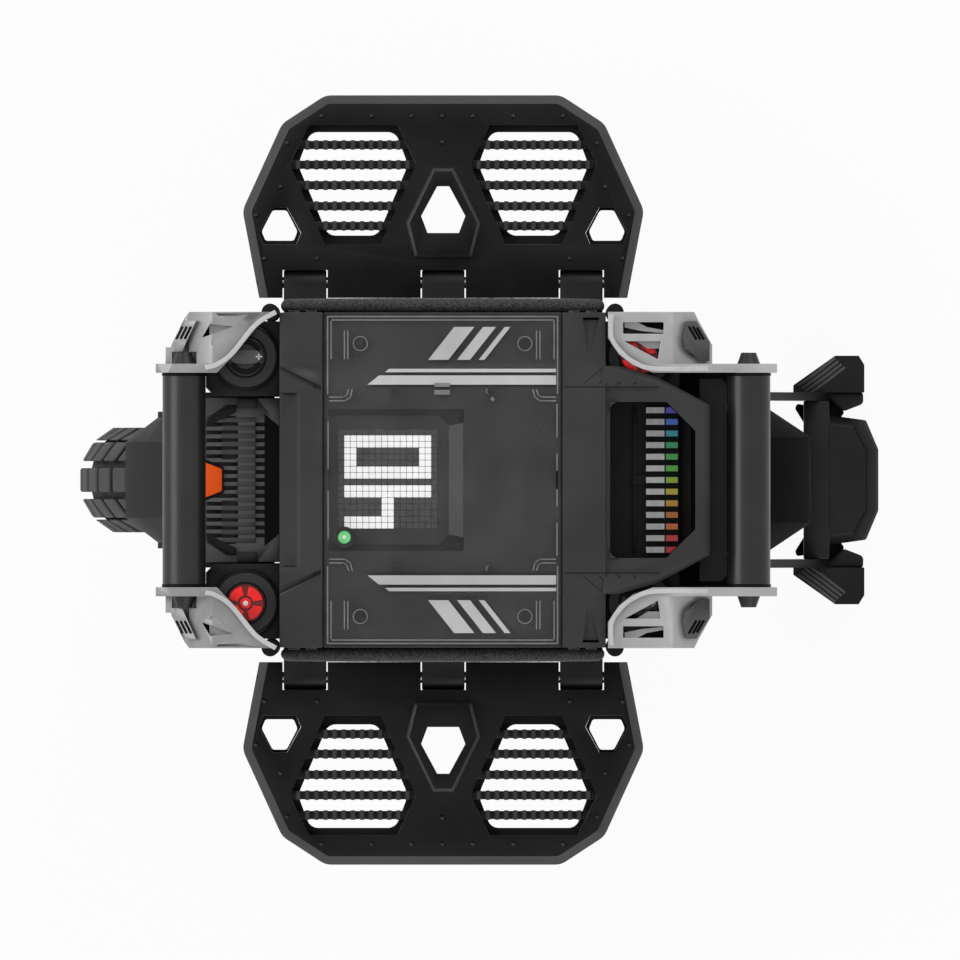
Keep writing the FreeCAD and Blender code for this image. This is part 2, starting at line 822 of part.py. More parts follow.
def stand():
    save("stand_arms", pair(stand_arm()))
    save("stand_crossbar", [stand_crossbar()])
    save("stand_feet", pair(stand_foot()))


# Sprung frame: deck, batteries, hangers and fork


def deck():
    return block((-body_half_length, body_half_length), (-body_half_width, body_half_width),
                 (deck_low_z, deck_top_z))


def battery_section(inset):
    """A battery box's section as (y, z) points, with its outer lower corner cut off."""
    inner = battery_inner + inset
    outer = body_half_width - inset
    low = battery_low_z + inset
    return [(inner, low), (outer - battery_chamfer, low), (outer, low + battery_chamfer),
            (outer, deck_low_z), (inner, deck_low_z)]


def battery_box():
    box = prism_x(battery_section(0), (-body_half_length, body_half_length))
    hollow = body_half_length - battery_wall
    return box.cut(prism_x(battery_section(battery_wall), (-hollow, hollow)))


def battery_pack():
    inset = battery_wall + battery_play
    half = body_half_length - inset
    pack = prism_x(battery_section(inset), (battery_front_room - half, half))
    lid = block((-half, half), (0, body_half_width), (deck_low_z - inset, deck_low_z))
    pack = pack.cut(lid)
    pack.translate(point(0, 0, -battery_play))
    return pack


def foam_pad():
    """A foam side pad with a crowned outer face and rounded ends."""
    inner = body_half_width + seat_gap
    outer = inner + foam_thickness
    end = body_half_length
    shoulder = end - foam_end_radius
    edge = outer - foam_crown
    turn = foam_end_radius * math.cos(math.pi / 4)
    low = deck_low_z - foam_drop - foam_height

    def at(x, y):
        return point(x, y, low)

    corner = edge - foam_end_radius
    outline = Part.Wire([
        Part.makeLine(at(-end, inner), at(end, inner)),
        Part.makeLine(at(end, inner), at(end, corner)),
        Part.Arc(at(end, corner), at(shoulder + turn, corner + turn), at(shoulder, edge)).toShape(),
        Part.Arc(at(shoulder, edge), at(0, outer), at(-shoulder, edge)).toShape(),
        Part.Arc(at(-shoulder, edge), at(-shoulder - turn, corner + turn), at(-end, corner)).toShape(),
        Part.makeLine(at(-end, corner), at(-end, inner)),
    ])
    pad = Part.Face(outline).extrude(point(0, 0, foam_height))
    rims = [e for z in (low, low + foam_height) for e in edges_at_height(pad, z) if e.BoundBox.YMax > corner]
    rims = [e for e in rims if e.BoundBox.YMin > inner]
    return pad.makeChamfer(foam_edge_radius, rims)


def hanger():
    """The plate that carries the right pedal, with its knuckles and its flange under the battery box."""
    outer = hanger_inner + hanger_thickness
    top = battery_low_z - hanger_flange_height
    plate = prism_y([(-hanger_top_half_length, top), (hanger_top_half_length, top),
                     (hanger_low_half_length, hanger_low_z), (-hanger_low_half_length, hanger_low_z)],
                    (hanger_inner, outer))
    flange = block((-hanger_top_half_length, hanger_top_half_length), (hanger_flange_inner, outer - battery_chamfer),
                   (top, battery_low_z))
    shares = hanger_pocket_shares
    reach = hanger_low_half_length * shares[0]
    rise = top - hanger_low_z
    pocket = prism_y(both_sides([(reach, hanger_low_z + rise * shares[1]), (reach * 2, hanger_low_z + rise * shares[1]),
                                 (reach * 2, hanger_low_z + rise * shares[2])]), (outer - hanger_pocket, outer + overrun))
    axis = (pedal_axis_y, pedal_axis_z)
    knuckles = []
    for x in (-knuckle_x, 0, knuckle_x):
        span = (x - knuckle_half_width, x + knuckle_half_width)
        knuckles.append(rod(knuckle_radius, point(span[0], *axis), point(span[1], *axis)))
        knuckles.append(block(span, (outer - overrun, pedal_axis_y), (axis[1] - knuckle_radius, axis[1] + knuckle_radius)))
    whole = joined([plate.cut(pocket), flange] + knuckles)
    bore = rod(hinge_pin_radius + turn_gap, point(-pedal_half_length, *axis), point(pedal_half_length, *axis))
    return whole.cut(bore)


def hinge_pin():
    half = pedal_half_length * pedal_outline_shares[0][0] - hinge_pin_end
    return rod(hinge_pin_radius, point(-half, pedal_axis_y, pedal_axis_z), point(half, pedal_axis_y, pedal_axis_z))


def at_fork(low, high, radius):
    """A round bar on the axis of the rear right fork leg."""
    return rod(radius, point(fork_x, fork_y, low), point(fork_x, fork_y, high))


def fork_clamp(low, high):
    end = body_half_length + clamp_length
    clamp = block((body_half_length, end), (clamp_inner, clamp_outer), (low, high))
    outer_edges = [e for e in upright_edges(clamp) if e.BoundBox.XMin > body_half_length + overrun]
    clamp = clamp.makeChamfer(clamp_corner, outer_edges)
    return clamp.cut(at_fork(low - overrun, high + overrun, fork_tube_radius + seat_gap))


def bumper():
    y = clamp_outer + bumper_radius + seat_gap
    top = clamp_top_z
    return rod(bumper_radius, point(bumper_x, y, top - bumper_length), point(bumper_x, y, top))


def fork_tube():
    return tube(stanchion_radius + turn_gap, fork_tube_radius, point(fork_x, fork_y, fork_tube_low_z),
                point(fork_x, fork_y, fork_tube_top_z))


def fork_seal():
    low = fork_tube_low_z - seal_height
    return tube(stanchion_radius + seat_gap, fork_tube_radius + seal_lip, point(fork_x, fork_y, low),
                point(fork_x, fork_y, fork_tube_low_z))


def fork_cap():
    cap = at_fork(fork_tube_top_z, fork_cap_top_z, fork_cap_radius)
    cap = cap.makeChamfer(seal_lip, edges_at_height(cap, fork_cap_top_z))
    return cap.cut(at_fork(fork_tube_top_z - overrun, fork_cap_top_z + overrun, knob_stem_radius + turn_gap))


def adjuster(tool):
    """A knob with its stem in the cap; tool shapes its top."""
    low = fork_cap_top_z + seat_gap
    stem = at_fork(fork_tube_top_z + seat_gap, low, knob_stem_radius)
    return joined([at_fork(low, low + knob_height, knob_radius), stem, tool(low + knob_height)])


def preload_grip(low):
    """The raised bar to hold the preload knob by, with round ends."""
    reach = knob_radius - grip_bar_half_width
    spots = [point(fork_x + side * reach, fork_y, low) for side in (-1, 1)]
    ends = [rod(grip_bar_half_width, spot, spot + spot_z * grip_bar_height) for spot in spots]
    middle = block((fork_x - reach, fork_x + reach), (fork_y - grip_bar_half_width, fork_y + grip_bar_half_width),
                   (low, low + grip_bar_height))
    return joined([middle] + ends)


def damping_dial(low):
    """The damping knob's four raised quarters and its hub."""
    dial = at_fork(low, low + grip_bar_height, knob_radius * damping_dial_share)
    slot = grip_bar_half_width / 4
    ring_slot = tube(grip_bar_half_width, grip_bar_half_width + slot, point(fork_x, fork_y, low),
                     point(fork_x, fork_y, low + grip_bar_height))
    cuts = [ring_slot]
    for turn in (0, 90):
        bar = block((-knob_radius, knob_radius), (-slot / 2, slot / 2), (low, low + grip_bar_height))
        bar = bar.rotated(origin, spot_z, turn + 45)
        bar.translate(point(fork_x, fork_y, 0))
        cuts.append(bar.cut(at_fork(low, low + grip_bar_height, grip_bar_half_width)))
    return without(dial, cuts)


def damper_rod():
    low = fork_tube_top_z - damper_rod_length
    shaft = at_fork(low, fork_tube_top_z, damper_rod_radius)
    piston = at_fork(low, low + damper_piston_height, stanchion_bore - seat_gap)
    return joined([shaft, piston])


def fork_spring():
    """The space of the spring inside a fork leg, as a plain sleeve."""
    low = stanchion_low_z + stanchion_plug
    inner = stanchion_bore - seat_gap - spring_wire_radius * 2
    return tube(inner, stanchion_bore - seat_gap, point(fork_x, fork_y, low), point(fork_x, fork_y, fork_tube_top_z))


def frame():
    save("main_deck", [deck()])
    save("battery_box_right", [battery_box()])
    save("battery_box_left", [left(battery_box())])
    save("battery_packs", pair(battery_pack()))
    save("foam_pad_right", [foam_pad()])
    save("foam_pad_left", [left(foam_pad())])
    save("hanger_right", [hanger()])
    save("hanger_left", [left(hanger())])
    save("pedal_hinge_pins", pair(hinge_pin()))
    low = battery_low_z + lower_clamp_rise
    save("upper_fork_clamps", four(fork_clamp(clamp_top_z - upper_clamp_height, clamp_top_z)))
    save("lower_fork_clamps", four(fork_clamp(low, low + lower_clamp_height)))
    save("corner_bumpers", four(bumper()))
    save("fork_tubes", four(fork_tube()))
    save("fork_seals", four(fork_seal()))
    save("fork_caps", four(fork_cap()))
    save("damper_rods", [damper_rod(), front(left(damper_rod()))])
    save("fork_springs", [left(fork_spring()), front(fork_spring())])
    save("preload_knob_front_right", [front(adjuster(preload_grip))])
    save("preload_knob_rear_left", [left(adjuster(preload_grip))])
    save("damping_knob_front_left", [front(left(adjuster(damping_dial)))])
    save("damping_knob_rear_right", [adjuster(damping_dial)])


# Pedals


def pedal_points(shares, middle=0):
    """A symmetric outline about x = middle, from shares of the pedal's half length and depth."""
    half = [(u * pedal_half_length, pedal_inner_y + v * pedal_depth) for u, v in shares]
    return [(middle + x, y) for x, y in both_sides(half)]


def pedal():
    low = pedal_top_z - pedal_thickness
    plate = prism_z(pedal_points(pedal_outline_shares), (low, pedal_top_z))
    plate = plate.makeFillet(pedal_corner_radius, [e for e in upright_edges(plate) if e.BoundBox.YMin > pedal_axis_y])
    rims = [e for e in edges_at_height(plate, pedal_top_z) if e.BoundBox.YMax > pedal_axis_y]
    plate = plate.makeChamfer(pedal_chamfer, rims)
    boss = prism_z(pedal_points(pedal_boss_shares), (low, pedal_top_z + pedal_boss_rise))
    boss = boss.makeChamfer(pedal_boss_rise / 2, edges_at_height(boss, pedal_top_z + pedal_boss_rise))
    through = (low - overrun, pedal_top_z + pedal_boss_rise + overrun)
    holes = [prism_z(pedal_points(pedal_boss_hole_shares), through)]
    bars = []
    for side in (-1, 1):
        outline = pedal_points(pedal_window_shares, side * pedal_window_x)
        holes.append(prism_z(outline, through))
        holes.append(prism_z(pedal_points(pedal_side_hole_shares, side * pedal_side_hole_x), through))
        bar_top = pedal_top_z - pedal_bar_drop
        level = prism_z(outline, (bar_top - pedal_bar_height, bar_top))
        for share in pedal_bar_shares:
            y = pedal_inner_y + share * pedal_depth
            strip = block((-pedal_half_length, pedal_half_length), (y - pedal_bar_width / 2, y + pedal_bar_width / 2),
                          (low, pedal_top_z))
            bars.append(level.common(strip))
    axis = (pedal_axis_y, pedal_axis_z)
    for x in (-knuckle_x, 0, knuckle_x):
        half = knuckle_half_width + side_gap
        holes.append(block((x - half, x + half), (pedal_inner_y - overrun, pedal_axis_y + knuckle_notch), through))
    holes.append(rod(hinge_pin_radius + turn_gap, point(-pedal_half_length, *axis), point(pedal_half_length, *axis)))
    return joined([without(joined([plate, boss]), holes)] + bars)


def pedals():
    save("pedal_right", [pedal()])
    save("pedal_left", [left(pedal())])


# Top covers and the display


def cover_section(drop, half_width, low):
    """The covers' section as (y, z) points: a raised middle, two slopes and two shoulders."""
    return both_sides([(half_width, low), (half_width, cover_shoulder_z - drop), (cover_slope_end, cover_shoulder_z - drop),
                       (cover_plateau, cover_top_z - drop)])


def cover_shell(x_span, end_walls):
    """A hollow cover, open below, with a wall at each end named by -1 or 1."""
    shell = prism_x(cover_section(0, body_half_width, deck_top_z), x_span)
    hollow = [x_span[0], x_span[1]]
    if -1 in end_walls:
        hollow[0] += cover_wall
    if 1 in end_walls:
        hollow[1] -= cover_wall
    inside = prism_x(cover_section(cover_wall, body_half_width - cover_wall, deck_top_z - overrun), hollow)
    return shell.cut(inside)


def front_top_cover():
    cover = cover_shell((-body_half_length, -display_half_length - joint_line), (-1,))
    nose = [(-front_cover_nose_x, cover_top_z), (-body_half_length, cover_top_z - front_cover_nose_drop)]
    chin = [(x, z - cover_wall) for x, z in reversed(nose)]
    sheet = prism_y(nose + chin, (-front_cover_nose_half, front_cover_nose_half))
    above = prism_y(nose + [(-body_half_length - overrun, cover_top_z - front_cover_nose_drop),
                            (-body_half_length - overrun, cover_top_z + overrun),
                            (-front_cover_nose_x, cover_top_z + overrun)],
                    (-front_cover_nose_half, front_cover_nose_half))
    return joined([cover, sheet]).cut(above)


def display_step_z():
    return deck_top_z + display_step_height


def pocket_span():
    return (-display_half_length + cover_wall, pocket_rear_x)


def panel_drop():
    """How far the top panel lies below the outside of the clear cover."""
    return cover_wall + seat_gap


def pocket_floor_z():
    return cover_top_z - panel_drop() - pocket_depth


def top_panel():
    """The opaque panel under the clear cover, with a step for the cover's edge and a pocket for the display."""
    span = (-display_half_length, display_half_length)
    base = block(span, (-body_half_width, body_half_width), (deck_top_z, display_step_z()))
    inner_half = body_half_width - cover_wall - seat_gap
    crest = prism_x(cover_section(panel_drop(), inner_half, display_step_z() - overrun), span)
    drop = panel_drop() + cover_wall
    hollow = prism_x(cover_section(drop, inner_half - cover_wall, deck_top_z - overrun), span)
    tub_x = (span[0], pocket_rear_x + cover_wall)
    tub_y = pocket_half_width + cover_wall
    tub = block(tub_x, (-tub_y, tub_y), (pocket_floor_z() - cover_wall, cover_top_z - drop))
    pocket = block(pocket_span(), (-pocket_half_width, pocket_half_width), (pocket_floor_z(), cover_top_z + overrun))
    shell = joined([base, crest]).cut(hollow)
    return joined([shell, tub]).cut(pocket)


def button_spot(z):
    return point(button_x, button_y, z)


def display_cover():
    span = (-display_half_length, display_half_length)
    outer = prism_x(cover_section(0, body_half_width, display_step_z()), span)
    inner = prism_x(cover_section(cover_wall, body_half_width - cover_wall, display_step_z() - overrun), span)
    hole = rod(button_radius + seat_gap, button_spot(deck_top_z), button_spot(cover_top_z + overrun))
    return outer.cut(inner).cut(hole)


def display_panel():
    span = [pocket_span()[0] + seat_gap, pocket_rear_x - display_board_margin]
    half = pocket_half_width - display_board_margin
    floor = pocket_floor_z()
    return block(span, (-half, half), (floor, floor + display_board_thickness))


def power_button():
    """A round button through the clear cover, kept in by a flange below it."""
    under = cover_top_z - cover_wall - seat_gap
    cap = rod(button_radius, button_spot(under - button_flange_height), button_spot(cover_top_z + button_proud))
    cap = cap.makeChamfer(button_proud / 2, edges_at_height(cap, cover_top_z + button_proud))
    flange = rod(button_radius + button_flange, button_spot(under - button_flange_height), button_spot(under))
    return joined([cap, flange])


def cover_screws():
    spots = [(x, y, cover_top_z) for x in (-screw_x, screw_x) for y in (-screw_y, screw_y)]
    spots += [(x, y, cover_shoulder_z) for x in (-corner_screw_x, corner_screw_x)
              for y in (-corner_screw_y, corner_screw_y)]
    return [rod(screw_radius, point(*spot), point(*spot) + spot_z * screw_head) for spot in spots]


def controller_board():
    plate = block((-controller_half_length, controller_half_length), (-controller_half_width, controller_half_width),
                  (deck_top_z, deck_top_z + controller_plate))
    top = deck_top_z + controller_plate
    step = controller_half_length / 2
    parts = []
    for x in (-step, 0, step):
        for y in (-controller_half_width / 2, controller_half_width / 2):
            parts.append(rod(controller_half_width / 5, point(x, y, top), point(x, y, top + controller_part_height)))
    return joined([plate] + parts)


# Rear hood, tail light and charge port


def tub_low_z():
    return cover_shoulder_z - tub_depth


def tub_outline(inset):
    """The tail-light tub as (x, y) points, with its rear corners cut off."""
    rear = body_half_length + tub_length - inset
    half = tub_half_width - inset
    return [(x, y) for y, x in both_sides([(half - tub_corner, rear), (half, rear - tub_corner),
                                           (half, body_half_length + inset)])]


def rear_top_cover():
    cover = cover_shell((display_half_length + joint_line, body_half_length), (1,))
    low = cover_top_z - cover_shoulder_drop / 4 - hood_thickness
    half = [(v * hood_half_width, body_half_length + u * hood_length) for v, u in hood_shares]
    hood_plan = [(x, y) for y, x in both_sides(half + [(hood_half_width, body_half_length - overrun)])]
    hood = prism_z(hood_plan, (low, low + hood_thickness))
    hood = hood.makeChamfer(hood_thickness / 3, [e for e in edges_at_height(hood, low + hood_thickness)
                                                 if e.BoundBox.XMin > body_half_length - overrun / 2])
    tub = prism_z(tub_outline(0), (tub_low_z(), low + overrun))
    whole = joined([cover, hood, tub])
    return whole.cut(prism_z(tub_outline(tub_wall), (tub_low_z() + tub_wall, cover_top_z + overrun)))


def tail_light_tray():
    low = tub_low_z() + tub_wall
    return prism_z(tub_outline(tub_wall + seat_gap), (low, low + tray_thickness))


def tail_light_bars():
    low = tub_low_z() + tub_wall + tray_thickness
    first = -(light_bar_count - 1) / 2 * light_bar_pitch
    bars = []
    for index in range(light_bar_count):
        y = first + index * light_bar_pitch
        bars.append(block((light_bar_x, light_bar_x + light_bar_length), (y - light_bar_width / 2, y + light_bar_width / 2),
                          (low, low + light_bar_height)))
    room = prism_z(tub_outline(tub_wall + seat_gap), (low, low + light_bar_height))
    return [bar.common(room) for bar in bars]


def charge_port():
    """The housing behind the tail light, with two sockets in its rear face."""
    start = body_half_length + tub_length
    low = tub_low_z() + port_rise
    housing = block((start, start + port_length), (-port_half_width, port_half_width), (low, low + port_height))
    housing = housing.makeChamfer(port_rise, [e for e in upright_edges(housing) if e.BoundBox.XMin > start + overrun])
    z = low + port_height / 2
    deep = start + port_length - port_hole_depth
    holes = [rod(port_hole_radius, point(deep, y, z), point(start + port_length + overrun, y, z))
             for y in (-port_hole_y, port_hole_y)]
    return without(housing, holes)


# Headlight block


def lamp_low_z():
    """Just above the tyre at full suspension travel, at the front face of the body."""
    return axle_z + suspension_travel + math.sqrt(tyre_radius**2 - body_half_length**2) + arch_clearance


def lamp_nose_x():
    return body_half_length + lamp_length


def lamp_outline():
    """The block as (x, y) points, narrower at its nose."""
    nose = lamp_half_width * lamp_nose_share
    return [(-x, y) for y, x in both_sides([(nose, lamp_nose_x()), (lamp_half_width, lamp_fin_front_x),
                                            (lamp_half_width, body_half_length)])]


def headlight_block():
    low = lamp_low_z()
    top = low + lamp_height
    body = prism_z(lamp_outline(), (low, top))
    count = int(lamp_fin_half_width / lamp_fin_pitch)
    cuts = []
    for index in range(-count, count + 1):
        y = index * lamp_fin_pitch
        across_span = (y - lamp_fin_gap / 2, y + lamp_fin_gap / 2)
        for start, end in ((lamp_fin_front_x, lamp_column_front_x), (lamp_column_rear_x, lamp_fin_rear_x)):
            cuts.append(block((-start, -end), across_span, (top - lamp_fin_depth, top + overrun)))
    z = low + lamp_height / 2
    cuts.append(block((-lamp_nose_x() - overrun, -lamp_nose_x() + lens_seat), (-lens_half_width, lens_half_width),
                      (z - lens_height / 2, z + lens_height / 2)))
    cuts.append(prism_z(trim_outline(seat_gap), (top - trim_seat, top + overrun)))
    nose = lamp_half_width * lamp_nose_share - lamp_wall
    room = [(-x, y) for y, x in both_sides([(nose, lamp_nose_x() - lamp_wall), (lamp_half_width - lamp_wall, lamp_fin_front_x),
                                            (lamp_half_width - lamp_wall, body_half_length + lamp_wall)])]
    cuts.append(prism_z(room, (low - overrun, top - lamp_fin_depth - lamp_wall)))
    return without(body, cuts)


def headlight_lens():
    z = lamp_low_z() + lamp_height / 2
    half = lens_half_width - seat_gap
    tall = lens_height / 2 - seat_gap
    start = -lamp_nose_x() + lens_seat
    return block((start - lens_thickness, start), (-half, half), (z - tall, z + tall))


def trim_outline(gap):
    return [(-x, y) for y, x in both_sides([(trim_front_half + gap, lamp_nose_x()),
                                            (trim_rear_half + gap, trim_rear_x - gap)])]


def headlight_trim():
    low = lamp_low_z() + lamp_height - trim_seat
    return prism_z(trim_outline(0), (low, low + trim_seat + trim_proud))


def top():
    save("front_top_cover", [front_top_cover()])
    save("top_panel", [top_panel()])
    save("display_cover", [display_cover()])
    save("display_panel", [display_panel()])
    save("power_button", [power_button()])
    save("cover_screws", cover_screws())
    save("controller_board", [controller_board()])
    save("rear_top_cover", [rear_top_cover()])
    save("tail_light_tray", [tail_light_tray()])
    save("tail_light_bars", tail_light_bars())
    save("charge_port", [charge_port()])
    save("headlight_block", [headlight_block()])
    save("headlight_lens", [headlight_lens()])
    save("headlight_trim", [headlight_trim()])


# Grab brackets and bars


def bracket_points(shares):
    """Points of a bracket's plan, from shares of its reach and of its width outside the bar's end."""
    reach = bracket_nose - body_half_length
    width = bracket_outer - bar_half_length
    return [(body_half_length + u * reach, bar_half_length + v * width) for u, v in shares]


def bracket_profile(drop):
    """A bracket seen from the side as (x, z) points: a level roof that slopes down to the nose."""
    top = bracket_top_z - drop
    low = bracket_top_z - bracket_roof - bracket_skirt
    slope = body_half_length + (bracket_nose - body_half_length) * bracket_level_share
    return [(body_half_length, low - drop), (body_half_length, top), (slope, top),
            (bracket_nose + overrun, top - bracket_front_wall_height), (bracket_nose + overrun, low - drop)]


def bar_plate_shape(bar_x, root_share):
    """The upright plate at the end of a bar."""
    root = body_half_length + (bracket_nose - body_half_length) * root_share
    clear = body_half_length + clamp_length + seat_gap
    tip = bar_x + bar_plate_reach
    low = bar_z - bar_plate_height / 2
    high = bar_z + bar_plate_height / 2
    under = bracket_top_z - bracket_roof
    cut = bar_plate
    outline = [(root, under), (clear, under), (clear, low), (tip - cut, low), (tip, low + cut), (tip, high - cut),
               (tip - cut, high), (clear, high), (root, bracket_top_z)]
    return prism_y(outline, (bar_half_length, bar_half_length + bar_plate))


def bracket(outline_shares, window_shares, bar_x, root_share):
    """A cast bracket for the rear right corner."""
    low = bracket_top_z - bracket_roof - bracket_skirt
    plan = bracket_points(outline_shares)
    wide = (0, bracket_outer + overrun)
    body = prism_z(plan, (low, bracket_top_z)).common(prism_y(bracket_profile(0), wide))
    hollow = prism_y(bracket_profile(bracket_roof), (0, clamp_outer))
    hollow = hollow.cut(block((bracket_nose - bracket_wall, bracket_nose + bar_radius), wide, (low, bracket_top_z)))
    bumper_room = block((body_half_length, bumper_x + bumper_radius + overrun), wide,
                        (low - overrun, bracket_top_z - bracket_roof))
    windows = [prism_z(bracket_points(shares), (bracket_top_z - bar_radius, bracket_top_z + overrun))
               for shares in window_shares]
    body = without(body, [hollow, bumper_room] + windows)
    bolt = across(bar_bolt_radius + turn_gap, (bar_x, bar_z), (0, bracket_outer))
    room = bar_cap_base + seat_gap * 2
    end = bar_half_length + bar_plate
    pocket = block((bar_x - room, bar_x + room), (end, end + bar_cap_length + seat_gap * 2), (bar_z - room, bracket_top_z))
    return joined([body.cut(pocket), bar_plate_shape(bar_x, root_share)]).cut(bolt)


def bar(bar_x):
    half = bar_half_length
    whole = rod(bar_radius, point(bar_x, -half, bar_z), point(bar_x, half, bar_z))
    bolts = [across(bar_bolt_radius + turn_gap, (bar_x, bar_z), span)
             for span in ((half - bar_bolt_depth, half + overrun), (-half - overrun, bar_bolt_depth - half))]
    return without(whole, bolts)


def bar_end_cap(bar_x):
    start = bar_half_length + bar_plate
    cone = Part.makeCone(bar_cap_base, bar_cap_tip, bar_cap_length, point(bar_x, start, bar_z), spot_y)
    bolt = across(bar_bolt_radius, (bar_x, bar_z), (bar_half_length - bar_bolt_depth + seat_gap, start))
    return joined([cone, bolt])


def grab_handles():
    rear = bracket(rear_bracket_shares, rear_window_shares, rear_bar_x, rear_bracket_root_share)
    fore = front(bracket(front_bracket_shares, front_window_shares, front_bar_x, front_bracket_root_share))
    save("rear_bracket_right", [rear])
    save("rear_bracket_left", [left(rear)])
    save("front_bracket_right", [fore])
    save("front_bracket_left", [left(fore)])
    save("grab_bars", [front(bar(front_bar_x)), bar(rear_bar_x)])
    caps = pair(bar_end_cap(rear_bar_x)) + pair(front(bar_end_cap(front_bar_x)))
    save("bar_end_caps", caps)


os.makedirs("parts", exist_ok=True)
wheel()
carriage()
stand()
frame()
pedals()
top()
grab_handles()
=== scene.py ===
import math

import bpy
from mathutils import Matrix, Vector


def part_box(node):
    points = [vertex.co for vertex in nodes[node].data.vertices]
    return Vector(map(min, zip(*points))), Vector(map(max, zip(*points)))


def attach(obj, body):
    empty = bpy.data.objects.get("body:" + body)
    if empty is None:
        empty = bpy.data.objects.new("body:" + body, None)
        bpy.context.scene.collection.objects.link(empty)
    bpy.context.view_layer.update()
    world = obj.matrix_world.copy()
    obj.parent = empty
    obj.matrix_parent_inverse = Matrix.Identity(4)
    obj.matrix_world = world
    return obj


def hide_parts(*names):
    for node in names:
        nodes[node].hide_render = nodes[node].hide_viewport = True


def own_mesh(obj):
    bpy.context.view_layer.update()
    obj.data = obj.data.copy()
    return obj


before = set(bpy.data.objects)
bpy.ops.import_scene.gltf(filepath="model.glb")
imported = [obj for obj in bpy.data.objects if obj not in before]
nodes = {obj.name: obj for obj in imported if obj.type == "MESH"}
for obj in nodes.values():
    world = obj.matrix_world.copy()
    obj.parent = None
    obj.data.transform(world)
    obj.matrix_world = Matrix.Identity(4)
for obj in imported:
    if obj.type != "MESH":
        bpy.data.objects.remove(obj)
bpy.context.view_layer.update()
mm = 0.001
sides = (1, -1)     # right of the rider, then left
up = (0, 0, 1)


# ways of working

def pick(shape, names):     # several values of a dictionary, by name
    return [shape[name] for name in names.split()]


def pickOnly(obj):
    bpy.ops.object.select_all(action="DESELECT")
    obj.select_set(True)
    bpy.context.view_layer.objects.active = obj


def settle(obj, name):      # the place goes into the mesh, the object stays at the origin
    obj.name = name
    obj.data.name = name
    pickOnly(obj)
    bpy.ops.object.transform_apply(location=True, rotation=True, scale=True)
    return obj


def editAll(obj):       # edit mode, with the whole mesh picked
    pickOnly(obj)
    bpy.ops.object.mode_set(mode="EDIT")
    bpy.ops.mesh.select_all(action="SELECT")


def facedOut(obj):      # all faces look outwards, and edit mode ends
    bpy.ops.mesh.select_all(action="SELECT")
    bpy.ops.mesh.normals_make_consistent(inside=False)
    bpy.ops.object.mode_set(mode="OBJECT")
    return obj


def addBox(name, start, end, place=(0, 0, 0)):       # from corner to corner, about a place
    bpy.ops.object.select_all(action="DESELECT")
    middle = [((a + b) / 2 + c) * mm for a, b, c in zip(start, end, place)]
    bpy.ops.mesh.primitive_cube_add(size=1, location=middle)
    box = bpy.context.object
    box.scale = [abs(b - a) * mm for a, b in zip(start, end)]
    return settle(box, name)


def addRod(name, start, end, radius, steps=32, endRadius=None):     # from point to point, tapered if asked
    bpy.ops.object.select_all(action="DESELECT")
    start, end = Vector(start) * mm, Vector(end) * mm
    tip = radius if endRadius is None else endRadius
    bpy.ops.mesh.primitive_cone_add(vertices=steps, radius1=radius * mm, radius2=tip * mm,
                                    depth=(end - start).length, location=(start + end) / 2)
    rod = bpy.context.object
    rod.rotation_mode = "QUATERNION"
    rod.rotation_quaternion = Vector(up).rotation_difference(end - start)
    return settle(rod, name)


def addOutline(name, points, filled=True):      # a ring of points in mm, at their own heights
    bpy.ops.object.select_all(action="DESELECT")
    bpy.ops.mesh.primitive_circle_add(vertices=len(points), fill_type="NGON" if filled else "NOTHING")
    ring = bpy.context.object
    for vertex, spot in zip(ring.data.vertices, points):
        vertex.co = Vector(spot) * mm
    ring.name = ring.data.name = name
    return ring


def pulled(obj, move):      # the outline is drawn out into a solid
    editAll(obj)
    bpy.ops.mesh.extrude_region_move(TRANSFORM_OT_translate={"value": Vector(move) * mm})
    return facedOut(obj)


def addSlab(name, outline, lowZ, highZ):        # an outline seen from above, with a thickness
    return pulled(addOutline(name, [(x, y, lowZ) for x, y in outline]), (0, 0, highZ - lowZ))


def addTurned(name, profile, middle, axis, steps=64):      # a closed profile of (radius, along) spun about an axis
    along = Vector(axis)
    out = along.orthogonal().normalized()
    spots = [Vector(middle) + out * radius + along * reach for radius, reach in profile]
    turned = addOutline(name, spots, filled=False)
    editAll(turned)
    bpy.ops.mesh.spin(steps=steps, angle=math.tau, center=Vector(middle) * mm, axis=along)
    bpy.ops.mesh.select_all(action="SELECT")
    bpy.ops.mesh.remove_doubles(threshold=0.02 * mm)
    return facedOut(turned)


def rectangle(x0, y0, x1, y1):
    return [(x0, y0), (x1, y0), (x1, y1), (x0, y1)]


def flipped(outline, side):     # the same outline on one side or the other
    return [(x, side * y) for x, y in outline]


def slabPair(name, outline, low, high):     # a slab on each side
    return [addSlab(name, flipped(outline, side), low, high) for side in sides]


def boxPair(name, start, end):      # a box on each side
    return [addBox(name, (start[0], side * start[1], start[2]), (end[0], side * end[1], end[2])) for side in sides]


def barOutline(start, end, wide, past=0):       # a straight bar between two points, and a little past them
    start, end = Vector(start), Vector(end)
    along = (end - start).normalized()
    aside = Vector((-along.y, along.x)) * wide / 2
    start, end = start - along * past, end + along * past
    return [start + aside, start - aside, end - aside, end + aside]


def copied(obj, name, place=None):      # each copy has its own mesh
    pickOnly(obj)
    bpy.ops.object.duplicate(linked=False)
    twin = bpy.context.object
    if place is not None:
        twin.data.transform(place)
    twin.name = twin.data.name = name
    return twin


def mirrored(obj, name, axes=(1, -1, 1)):
    twin = copied(obj, name, Matrix.Diagonal((*axes, 1)))
    editAll(twin)
    return facedOut(twin)


